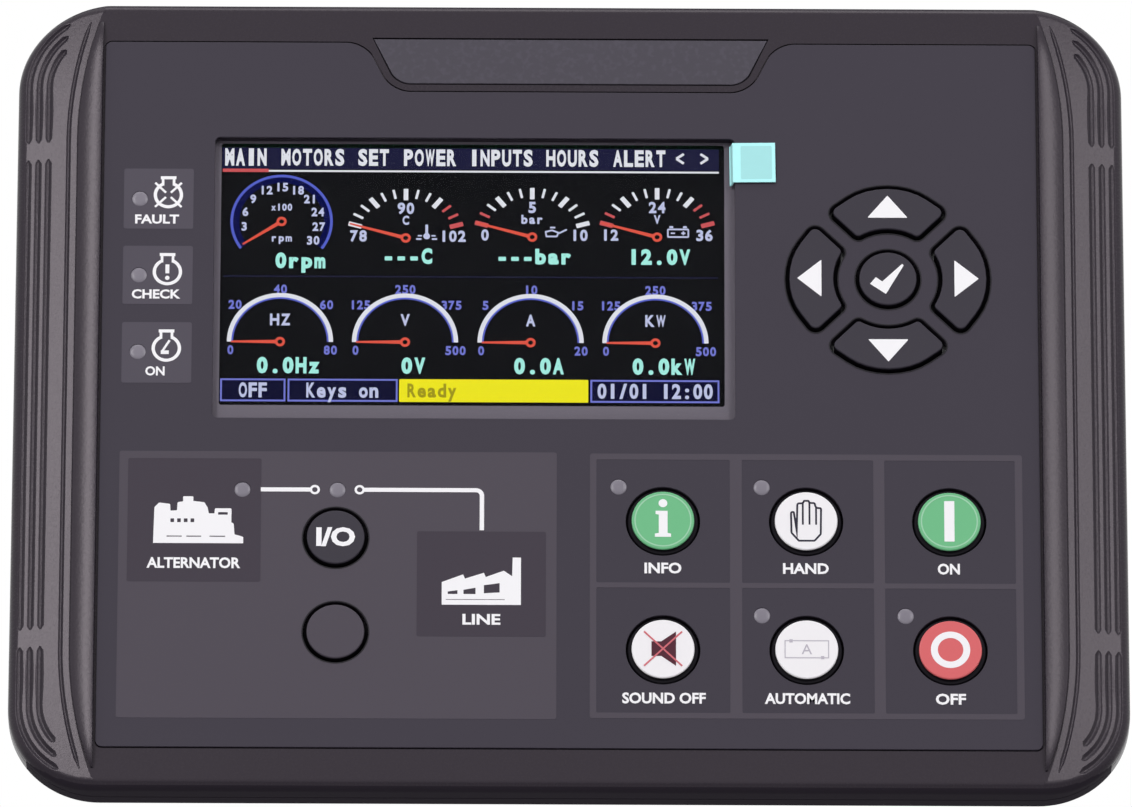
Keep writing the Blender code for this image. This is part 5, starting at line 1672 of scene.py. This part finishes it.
def draw_manual(_, dark):
    hand = [
        (-1.7, -4.9, 0.5), (1.9, -4.9, 0.6), (3.35, -3.2, 0.6), (3.45, 3.2, 0.5), (2.2, 3.2, 0.5),
        (2.1, 4.4, 0.6), (0.75, 4.4, 0.4), (0.7, 4.9, 0.4), (-0.7, 4.9, 0.4), (-0.75, 4.3, 0.4),
        (-2.1, 4.3, 0.6), (-2.2, 0.2, 0.0), (-2.5, 2.3, 0.4), (-3.5, 2.2, 0.5), (-3.4, -2.9, 0.8),
    ]
    add_line_round(dark, hand, 0.42)
    for x, top in ((-0.72, 4.2), (0.72, 4.2), (2.15, 3.1)):
        add_bar(dark, (x, -0.9), (x, top), 0.4)
    add_bar(dark, (-2.25, -0.9), (-2.25, 0.6), 0.4)


def draw_start(white, _):
    add_outline(white, centred(1.1, 4.75, 0.15))


def draw_mute(_, dark):
    horn = [(-2.5, -1.7, 0), (-0.4, -1.7, 0), (2.8, -4.0, 0), (2.8, 4.0, 0), (-0.4, 1.7, 0), (-2.5, 1.7, 0)]
    add_outline(dark, horn)


def draw_cross(shape):
    for side in (-1, 1):
        add_bar(shape, (-4.1, 4.0 * side), (4.1, -4.0 * side), 0.36)


def draw_auto(_, dark):
    add_line_round(dark, centred(4.8, 2.1), 0.22)
    for side in (-1, 1):
        add_outline(dark, centred(0.36, 0.36, centre=(3.4 * side, -1.95 * side)))
    add_words(dark, "A", (0.0, 0.0), 2.3, weight=0.0)


def draw_stop(white, _):
    add_arc(white, (0.0, 0.0), 3.5, 1.5, steps=48)


def draw_changeover(white, _):
    add_words(white, "I/O", (0.0, 0.0), 3.9, 8.4, 0.06)


def draw_enter(white, _):
    tick = [
        (-3.9, -1.3, 0), (-2.65, 0.3, 0.1), (-1.25, -0.75, 0), (3.15, 3.5, 0), (3.45, 3.1, 0),
        (-0.45, -3.7, 0.1),
    ]
    add_outline(white, tick)


LEGENDS = {
    "info": draw_info,
    "manual": draw_manual,
    "start": draw_start,
    "mute": draw_mute,
    "auto": draw_auto,
    "stop": draw_stop,
    "changeover": draw_changeover,
    "enter": draw_enter,
}
DARK_INKS = {"manual": (38, 35, 52), "mute": (76, 28, 44), "auto": (186, 180, 192)}


def make_legend(name, draw):
    white, dark = bmesh.new(), bmesh.new()
    draw(white, dark)
    centre = middle(f"key_{name}")
    parts = []
    if white.faces:
        parts.append((on_key(white, centre), white_ink()))
    if dark.faces:
        parts.append((on_key(dark, centre), ink(f"{name.capitalize()} ink", paint(*DARK_INKS[name]))))
    if name == "mute":
        cross = bmesh.new()
        draw_cross(cross)
        parts.append((on_key(cross, centre, 2.0), ink("Cross ink", paint(206, 106, 116))))
    build_piece(f"{name}_legend", parts, f"{name}_key")


def make_arrow(name, turns):
    shape = bmesh.new()
    arrow = [(-4.4, 14.5, 0.12), (4.4, 14.5, 0.12), (0.0, 19.8, 0.12)]
    add_outline(shape, moved(arrow, (0.0, 0.0), turns), 3)
    parts = [(on_key(shape, PAD_CENTRE), white_ink())]
    build_piece(f"{name}_arrow", parts, f"{name}_key")


def make_rim_ring(name):
    """The fine pale ring near the edge of a green key: partly a printed ring, partly a painted highlight
    where the glossy disc's rim catches the light.
    """
    shape = bmesh.new()
    add_arc(shape, (0.0, 0.0), COLOUR_KEY_DISC - 0.75, 0.3, steps=64)
    parts = [(on_key(shape, middle(f"key_{name}")), ink("Ring ink", paint(158, 206, 174)))]
    build_piece(f"{name}_ring", parts, f"{name}_key")


def make_lamp(name):
    """A lamp window: its foot by the board, its collar behind the web and a low dome in the face."""
    low = extent(f"lamp_{name}")[0].z
    front = OVERLAY_HIGH.z
    flange, wide = LAMP_RADIUS + LAMP_FLANGE, LAMP_FRONT_RADIUS
    profile = [(0.0, low), (LAMP_RADIUS, low), (LAMP_RADIUS, SKIRT_BACK), (flange, SKIRT_BACK)]
    profile += [(flange, SKIRT_FRONT), (wide, SKIRT_FRONT), (wide, front - 0.12)]
    profile += [(wide - 0.15, front - 0.02), (wide * 0.5, front + 0.06), (0.0, front + 0.08)]
    shape = turned(profile, middle(f"lamp_{name}"), 32)
    build_piece(f"{name}_lens", [(shape, lamp_lens())], replaces=[f"lamp_{name}"])


# Rear housing, screws, clips, plugs and sockets


def make_rear_housing():
    shape = solid(centred(COVER_HIGH.x, COVER_HIGH.y, COVER_CORNER), COVER_LOW.z, COVER_HIGH.z, 8)
    soften(shape, corner_edges(shape, COVER_LOW.z), COVER_EDGE, 4)
    inner = (COVER_HIGH.x - COVER_WALL, COVER_HIGH.y - COVER_WALL)
    back_wall = COVER_LOW.z + COVER_WALL
    openings = []
    for number in range(1, 5):
        low, high = extent(f"terminal_header_{number}")
        openings.append(boxed((low.x - GAP, low.y - GAP, high.x + GAP, high.y + GAP)))
    for name in ("usb_port", "network_port"):
        low, high = extent(name)
        grow = SOCKET_GROW
        openings.append(boxed((low.x - grow, low.y - grow, high.x + grow, high.y + grow), 0.2))
    for centre in VENT_CENTRES:
        for index in range(VENT_COUNT):
            x = centre + (index - (VENT_COUNT - 1) / 2) * VENT_PITCH
            openings.append(centred(*VENT_HALF, VENT_HALF[0] * 0.98, (x, 0.0)))
    head_seat = extent("cover_screw_1")[0].z + SCREW_SEAT + GAP
    wells = [round_hole(place, SCREW_HEAD_RADIUS + GAP, 32) for place in screw_places()]
    shanks = [round_hole(place, SCREW_RADIUS + GAP, 24) for place in screw_places()]
    tools = [
        solid(notched(*inner, POST_SIDE + POCKET_STEP), back_wall, COVER_HIGH.z + CUT_PAST),
        solids(openings, COVER_LOW.z - CUT_PAST, back_wall + CUT_PAST, 5),
        solids(wells, COVER_LOW.z - CUT_PAST, head_seat),
        solids(shanks, head_seat - CUT_PAST, COVER_HIGH.z + CUT_PAST),
        clip_slots(),
    ]
    parts = [(combined(shape, tools), housing_plastic())]
    build_piece("housing_shell", parts, replaces=["rear_cover"], smooth=24)


def clip_slots():
    """Slots in the housing's side walls, where the clips hook in."""
    shape = bmesh.new()
    for number in range(1, 5):
        low = extent(f"mounting_clip_{number}")[0]
        centre = middle(f"mounting_clip_{number}")
        wall = math.copysign(COVER_HIGH.x - COVER_WALL / 2, centre.x)
        size = (COVER_WALL + 2 * CUT_PAST, CLIP_WIDTH + 2 * GAP, CLIP_HOOK_LENGTH + 2 * GAP)
        place = (wall, centre.y, low.z + CLIP_HOOK_LENGTH / 2)
        matrix = Matrix.Translation(place) @ Matrix.Diagonal((*size, 1.0))
        bmesh.ops.create_cube(shape, size=1.0, matrix=matrix)
    return shape


def facing_back(shape, back, front):
    """A drawing seen from behind, x to the viewer's right, made solid between two depths."""
    raised(shape, -front, -back)
    bmesh.ops.transform(shape, matrix=Matrix.Rotation(math.pi, 4, "Y"), verts=shape.verts)
    return shape


def make_rear_numbers():
    """Plain way numbers beside each plug."""
    shape = bmesh.new()
    first = 1
    for number, ways in enumerate(TERMINAL_WAYS, 1):
        low, high = extent(f"terminal_header_{number}")
        up = low.y - 2.6 if middle(f"terminal_header_{number}").y > 0 else high.y + 2.6
        centre = -middle(f"terminal_header_{number}").x
        for way in range(ways):
            x = centre + (way - (ways - 1) / 2) * TERMINAL_PITCH
            add_words(shape, str(first + way), (x, up), 1.7, weight=0.02)
        first += ways
    facing_back(shape, COVER_LOW.z - 0.04, COVER_LOW.z + 0.02)
    parts = [(shape, ink("Rear number ink", paint(196, 196, 198)))]
    build_piece("rear_numbers", parts)


def thread(radius, start, end):
    """The (radius, depth) points of a fine thread between two depths."""
    points = []
    count = int(abs(end - start) / THREAD_PITCH)
    step = (end - start) / count
    for turn in range(count):
        points.append((radius - THREAD_DEPTH, start + turn * step))
        points.append((radius, start + (turn + 0.5) * step))
    return points + [(radius - THREAD_DEPTH, end)]


def make_cover_screw(number):
    """A pan-head screw with a cross recess."""
    node = f"cover_screw_{number}"
    low, high = extent(node)
    centre = middle(node)
    seat = low.z + SCREW_SEAT
    profile = [(0.0, low.z), (1.9, low.z + 0.05), (2.5, low.z + 0.45), (SCREW_HEAD_RADIUS, low.z + 1.1)]
    profile += [(SCREW_HEAD_RADIUS, seat), (SCREW_RADIUS, seat)]
    profile += thread(SCREW_RADIUS, seat + 1.0, high.z - 1.3) + [(0.0, high.z)]
    cross = bmesh.new()
    for turn in (0.0, math.pi / 2):
        size = Matrix.Diagonal((2.9, 0.6, 2 * DRIVE_DEPTH, 1.0))
        place = Matrix.Translation((centre.x, centre.y, low.z)) @ Matrix.Rotation(turn + 0.4, 4, "Z")
        bmesh.ops.create_cube(cross, size=1.0, matrix=place @ size)
        if turn == 0.0:
            first, cross = cross, bmesh.new()
    shape = combined(turned(profile, centre, 28), [first, cross])
    build_piece(f"{node}_threaded", [(shape, zinc())], replaces=[node], smooth=28)


def make_clip(number):
    """A folded clip: its foot on the housing, an upright towards the panel, and a hook in the slot."""
    node = f"mounting_clip_{number}"
    low, high = extent(node)
    centre = middle(node)
    side = 1 if centre.x > 0 else -1
    hook, top = (low.x, high.x) if side > 0 else (-high.x, -low.x)
    foot, back, front = hook + 3.0, low.z, high.z
    wall, bend = CLIP_THICKNESS, CLIP_BEND
    outline = [
        (front, foot, bend + wall * 0.9), (front, top, 0.3),
        (front - wall, top, 0.3), (front - wall, foot + wall, bend),
        (back, foot + wall, bend + wall * 0.5), (back, hook, 0.3),
        (back + wall, hook, 0.3), (back + wall, foot, bend * 0.5),
    ]
    shape = solid(outline, -CLIP_WIDTH / 2, CLIP_WIDTH / 2, 6)
    upright = Matrix(((0, side, 0, 0), (0, 0, 1, centre.y), (1, 0, 0, 0), (0, 0, 0, 1)))
    bmesh.ops.transform(shape, matrix=upright, verts=shape.verts)
    screw = middle(f"clip_screw_{number}")
    hole = solid(round_hole(screw, CLIP_SCREW_RADIUS + GAP, 32), front - wall - CUT_PAST, front + CUT_PAST)
    shape = combined(shape, [hole])
    build_piece(f"bent_clip_{number}", [(shape, zinc())], replaces=[node], smooth=28)


def make_clip_screw(number):
    """A cheese-head screw with a slot."""
    node = f"clip_screw_{number}"
    low, high = extent(node)
    centre = middle(node)
    head = high.x - centre.x
    seat = low.z + CLIP_SCREW_HEAD
    profile = [(0.0, low.z), (head - 0.4, low.z), (head - 0.1, low.z + 0.15), (head, low.z + 0.5)]
    profile += [(head, seat)] + thread(CLIP_SCREW_RADIUS, seat, high.z - 0.6) + [(1.2, high.z), (0.0, high.z)]
    slot = bmesh.new()
    size = Matrix.Diagonal((0.9, 4 * head, 2 * DRIVE_DEPTH, 1.0))
    turn = Matrix.Rotation(0.5 * number, 4, "Z")
    place = Matrix.Translation((centre.x, centre.y, low.z))
    bmesh.ops.create_cube(slot, size=1.0, matrix=place @ turn @ size)
    shape = combined(turned(profile, centre, 28), [slot])
    build_piece(f"{node}_threaded", [(shape, zinc())], replaces=[node], smooth=28)


def add_clamp_screw(shape, centre):
    """A slotted screw head as two half discs."""
    across, up = centre
    for start in (14, 194):
        turns = [math.radians(start + 152 * step / 8) for step in range(9)]
        ring = [(CLAMP_RADIUS * math.cos(turn), CLAMP_RADIUS * math.sin(turn)) for turn in turns]
        add_outline(shape, [(across + x, up + y, 0.0) for x, y in ring])


def make_plug(number, ways):
    """A pluggable terminal: wire entries, clamp screws over them and a rib between the ways."""
    node = f"terminal_plug_{number}"
    low, high = extent(node)
    centre = middle(node)
    shape = solid(boxed((low.x, low.y, high.x, high.y), 0.5), low.z, high.z, 4)
    soften(shape, corner_edges(shape, low.z), 0.3, 2)
    xs = [centre.x + (way - (ways - 1) / 2) * TERMINAL_PITCH for way in range(ways)]
    entries = [centred(*WIRE_HOLE, 0.3, (x, centre.y)) for x in xs]
    clamps = [round_hole((x, centre.y + CLAMP_UP), CLAMP_RADIUS + 0.12, 20) for x in xs]
    ribs = []
    for left, right in zip(xs, xs[1:]):
        x = (left + right) / 2
        ribs.append(boxed((x - 0.18, low.y - CUT_PAST, x + 0.18, high.y + CUT_PAST)))
    tools = [
        solids(entries, low.z - CUT_PAST, low.z + WIRE_HOLE_DEPTH, 3),
        solids(clamps, low.z - CUT_PAST, low.z + 1.3),
        solids(ribs, low.z - CUT_PAST, low.z + 0.35),
    ]
    shape = combined(shape, tools)
    heads = bmesh.new()
    for x in xs:
        add_clamp_screw(heads, (x, centre.y + CLAMP_UP))
    raised(heads, low.z + 0.6, low.z + 1.3)
    parts = [(shape, terminal_plastic()), (heads, nickel())]
    build_piece(f"wired_plug_{number}", parts, replaces=[node])


def make_socket_details():
    """The tongue of the square socket and the contacts of the network socket."""
    low, high = extent("usb_port")
    centre = middle("usb_port")
    tongue = solid(centred(2.8, 1.6, 0.3, centre), low.z + 1.0, low.z + 9.2, 3)
    soften(tongue, corner_edges(tongue, low.z + 1.0), 0.3, 2)
    build_piece("usb_tongue", [(tongue, housing_plastic())])
    low, high = extent("network_port")
    centre = middle("network_port")
    contacts = bmesh.new()
    for way in range(8):
        x = centre.x + (way - 3.5) * 1.02
        add_bar(contacts, (x, high.y - 1.9), (x, high.y - 3.1), 0.42)
    raised(contacts, low.z + 2.4, high.z - 0.1)
    build_piece("network_contacts", [(contacts, nickel())])


def dress(node, material):
    """Gives a kept CAD node its finish."""
    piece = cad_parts[node]
    piece.material_slots[0].material = material


# Stage


def make_floor():
    shape = bmesh.new()
    add_disc(shape, (0.0, 0.0), FLOOR_RADIUS, 64)
    mesh = bpy.data.meshes.new("floor")
    shape.to_mesh(mesh)
    shape.free()
    mesh.transform(Matrix.Translation((0.0, 0.0, -FLOOR_DROP)) @ Matrix.Scale(MM, 4))
    floor = bpy.data.objects.new("floor", mesh)
    bpy.context.scene.collection.objects.link(floor)
    tint = bpy.context.scene.controller_stage.floor
    finish = grained("Pale floor", tint, 0.7, 0.01, clouds=0.02, bump=0.0)
    tree = finish.node_tree
    seen = place_node(tree, "ShaderNodeLightPath").outputs["Is Camera Ray"]
    shader = tree.nodes["Principled BSDF"]
    shader.inputs["Emission Color"].default_value = (1.0, 1.0, 1.0, 1.0)
    tree.links.new(maths(tree, "MULTIPLY", seen, FLOOR_LIFT), shader.inputs["Emission Strength"])
    mesh.materials.append(finish)


def make_light(name, power, size, azimuth, elevation, distance):
    """A softbox that faces the object."""
    lamp = bpy.data.lights.new(name, "AREA")
    lamp.shape = "RECTANGLE"
    lamp.size, lamp.size_y = size
    lamp.energy = power
    holder = bpy.data.objects.new(name, lamp)
    bpy.context.scene.collection.objects.link(holder)
    back = direction(azimuth, elevation)
    holder.location = back * distance
    holder.rotation_mode = "QUATERNION"
    holder.rotation_quaternion = (-back).to_track_quat("-Z", "Y")


def direction(azimuth, elevation):
    """The way from the object to a viewer or a light, from two angles in degrees."""
    a, e = math.radians(azimuth), math.radians(elevation)
    return Vector((math.sin(a) * math.cos(e), -math.cos(a) * math.cos(e), math.sin(e)))


def make_world(level):
    """A grey that falls off downwards and lights the object; the camera, gloss and glass see white."""
    world = bpy.data.worlds.new("Studio")
    world.use_nodes = True
    tree = world.node_tree
    tree.nodes.clear()
    path = place_node(tree, "ShaderNodeLightPath").outputs
    seen = maths(tree, "MAXIMUM", path["Is Camera Ray"], path["Is Glossy Ray"])
    seen = maths(tree, "MAXIMUM", seen, path["Is Transmission Ray"])
    way = place_node(tree, "ShaderNodeTexCoord").outputs["Generated"]
    height = place_node(tree, "ShaderNodeSeparateXYZ", {0: way}).outputs["Z"]
    share = maths(tree, "ADD", LIGHT_LEVEL, maths(tree, "MULTIPLY", height, LIGHT_FALL))
    strength = maths(tree, "MULTIPLY", share, level)
    grey = place_node(tree, "ShaderNodeBackground", {"Color": (1, 1, 1, 1), "Strength": strength})
    white = place_node(tree, "ShaderNodeBackground", {"Color": (1, 1, 1, 1), "Strength": 1.0})
    mix = place_node(tree, "ShaderNodeMixShader", {0: seen, 1: grey.outputs[0], 2: white.outputs[0]})
    place_node(tree, "ShaderNodeOutputWorld", {"Surface": mix.outputs[0]})
    bpy.context.scene.world = world


def make_camera(stage):
    target = Vector(CAMERA_TARGET) * MM
    back = direction(math.degrees(stage.azimuth), math.degrees(stage.elevation))
    camera = bpy.data.cameras.new("camera")
    camera.lens = stage.lens
    holder = bpy.data.objects.new("camera", camera)
    bpy.context.scene.collection.objects.link(holder)
    holder.location = target + back * stage.distance
    holder.rotation_mode = "QUATERNION"
    holder.rotation_quaternion = (-back).to_track_quat("-Z", "Y") @ Quaternion((0.0, 0.0, 1.0), stage.roll)
    bpy.context.scene.camera = holder


# Operators


class CONTROLLER_OT_front(bpy.types.Operator):
    """Build the front moulding, the overlay sheet and the blank name plate"""

    bl_idname = "controller.front"
    bl_label = "Front moulding"

    def execute(self, context):
        make_front_moulding()
        make_overlay_sheet()
        make_name_plate()
        return {"FINISHED"}


class CONTROLLER_OT_print(bpy.types.Operator):
    """Print the fields, lines, symbols and plain words on the overlay"""

    bl_idname = "controller.print"
    bl_label = "Print"

    def execute(self, context):
        make_fields()
        make_lettering()
        return {"FINISHED"}


class CONTROLLER_OT_screen(bpy.types.Operator):
    """Build the window, its film and pull tab, and the lit picture"""

    bl_idname = "controller.screen"
    bl_label = "Screen"

    def execute(self, context):
        make_window()
        make_film()
        make_pull_tab()
        make_picture()
        dress("lcd_panel", screen_glass())
        dress("lcd_backlight", backlight_frame())
        return {"FINISHED"}


class CONTROLLER_OT_keys(bpy.types.Operator):
    """Build every key and the legend that moves with it"""

    bl_idname = "controller.keys"
    bl_label = "Keys"

    def execute(self, context):
        for name, finish in COLOUR_KEYS.items():
            make_colour_key(name, finish)
        for name in DARK_KEYS:
            make_dark_key(name)
        for turns, name in enumerate(SECTOR_KEYS):
            make_sector_key(name, turns)
            make_arrow(name, turns)
        for name, draw in LEGENDS.items():
            make_legend(name, draw)
        for name in ("info", "start"):
            make_rim_ring(name)
        return {"FINISHED"}


class CONTROLLER_OT_lamps(bpy.types.Operator):
    """Build the lamp windows"""

    bl_idname = "controller.lamps"
    bl_label = "Lamps"

    def execute(self, context):
        for name in LAMPS:
            make_lamp(name)
        return {"FINISHED"}


class CONTROLLER_OT_housing(bpy.types.Operator):
    """Build the rear housing with its vents, way numbers and screws"""

    bl_idname = "controller.housing"
    bl_label = "Rear housing"

    def execute(self, context):
        make_rear_housing()
        make_rear_numbers()
        for number in range(1, 5):
            make_cover_screw(number)
        return {"FINISHED"}


class CONTROLLER_OT_clips(bpy.types.Operator):
    """Build the bent mounting clips and their screws"""

    bl_idname = "controller.clips"
    bl_label = "Mounting clips"

    def execute(self, context):
        for number in range(1, 5):
            make_clip(number)
            make_clip_screw(number)
        return {"FINISHED"}


class CONTROLLER_OT_terminals(bpy.types.Operator):
    """Build the terminal plugs and the insides of the sockets"""

    bl_idname = "controller.terminals"
    bl_label = "Terminals"

    def execute(self, context):
        for number, ways in enumerate(TERMINAL_WAYS, 1):
            make_plug(number, ways)
            dress(f"terminal_header_{number}", terminal_plastic())
        make_socket_details()
        for name in ("usb_port", "network_port"):
            dress(name, nickel())
        return {"FINISHED"}


class CONTROLLER_OT_inside(bpy.types.Operator):
    """Finish the pieces inside the housing and the gasket"""

    bl_idname = "controller.inside"
    bl_label = "Inside and gasket"

    def execute(self, context):
        for node in ("front_board", "main_board"):
            dress(node, laminate())
        dress("keypad_mat", mat_rubber())
        dress("panel_gasket", foam())
        dress("ribbon_cable", ribbon_grey())
        dress("clock_battery", zinc())
        return {"FINISHED"}


class CONTROLLER_OT_stage(bpy.types.Operator):
    """Set up the floor, the softboxes, the even light and the camera"""

    bl_idname = "controller.stage"
    bl_label = "Stage"

    def execute(self, context):
        stage = context.scene.controller_stage
        make_floor()
        for side, box in SOFTBOXES.items():
            make_light(f"{side} softbox", getattr(stage, f"{side}_power"), *box)
        make_world(stage.ambient)
        make_camera(stage)
        context.scene.view_settings.view_transform = "Standard"
        return {"FINISHED"}


OPERATORS = (
    CONTROLLER_OT_front,
    CONTROLLER_OT_print,
    CONTROLLER_OT_screen,
    CONTROLLER_OT_keys,
    CONTROLLER_OT_lamps,
    CONTROLLER_OT_housing,
    CONTROLLER_OT_clips,
    CONTROLLER_OT_terminals,
    CONTROLLER_OT_inside,
    CONTROLLER_OT_stage,
)
SETTINGS = (
    ("controller_sizes", ControllerSizes),
    ("controller_colours", ControllerColours),
    ("controller_stage", ControllerStage),
)


class CONTROLLER_PT_sidebar(bpy.types.Panel):
    """The controller's settings and its builders"""

    bl_idname = "CONTROLLER_PT_sidebar"
    bl_label = "Generator controller"
    bl_space_type = "VIEW_3D"
    bl_region_type = "UI"
    bl_category = "Controller"

    def draw(self, context):
        for operator in OPERATORS:
            self.layout.operator(operator.bl_idname)
        for name, group in SETTINGS:
            box = self.layout.box()
            for setting in group.__annotations__:
                box.prop(getattr(context.scene, name), setting)


def register():
    for name, group in SETTINGS:
        bpy.utils.register_class(group)
        setattr(bpy.types.Scene, name, PointerProperty(type=group))
    for item in (*OPERATORS, CONTROLLER_PT_sidebar):
        bpy.utils.register_class(item)


def unregister():
    for item in (CONTROLLER_PT_sidebar, *reversed(OPERATORS)):
        bpy.utils.unregister_class(item)
    for name, group in reversed(SETTINGS):
        delattr(bpy.types.Scene, name)
        bpy.utils.unregister_class(group)


def main():
    register()
    for operator in OPERATORS:
        getattr(bpy.ops.controller, operator.bl_idname.split(".")[1])()


if __name__ == "__main__":
    main()
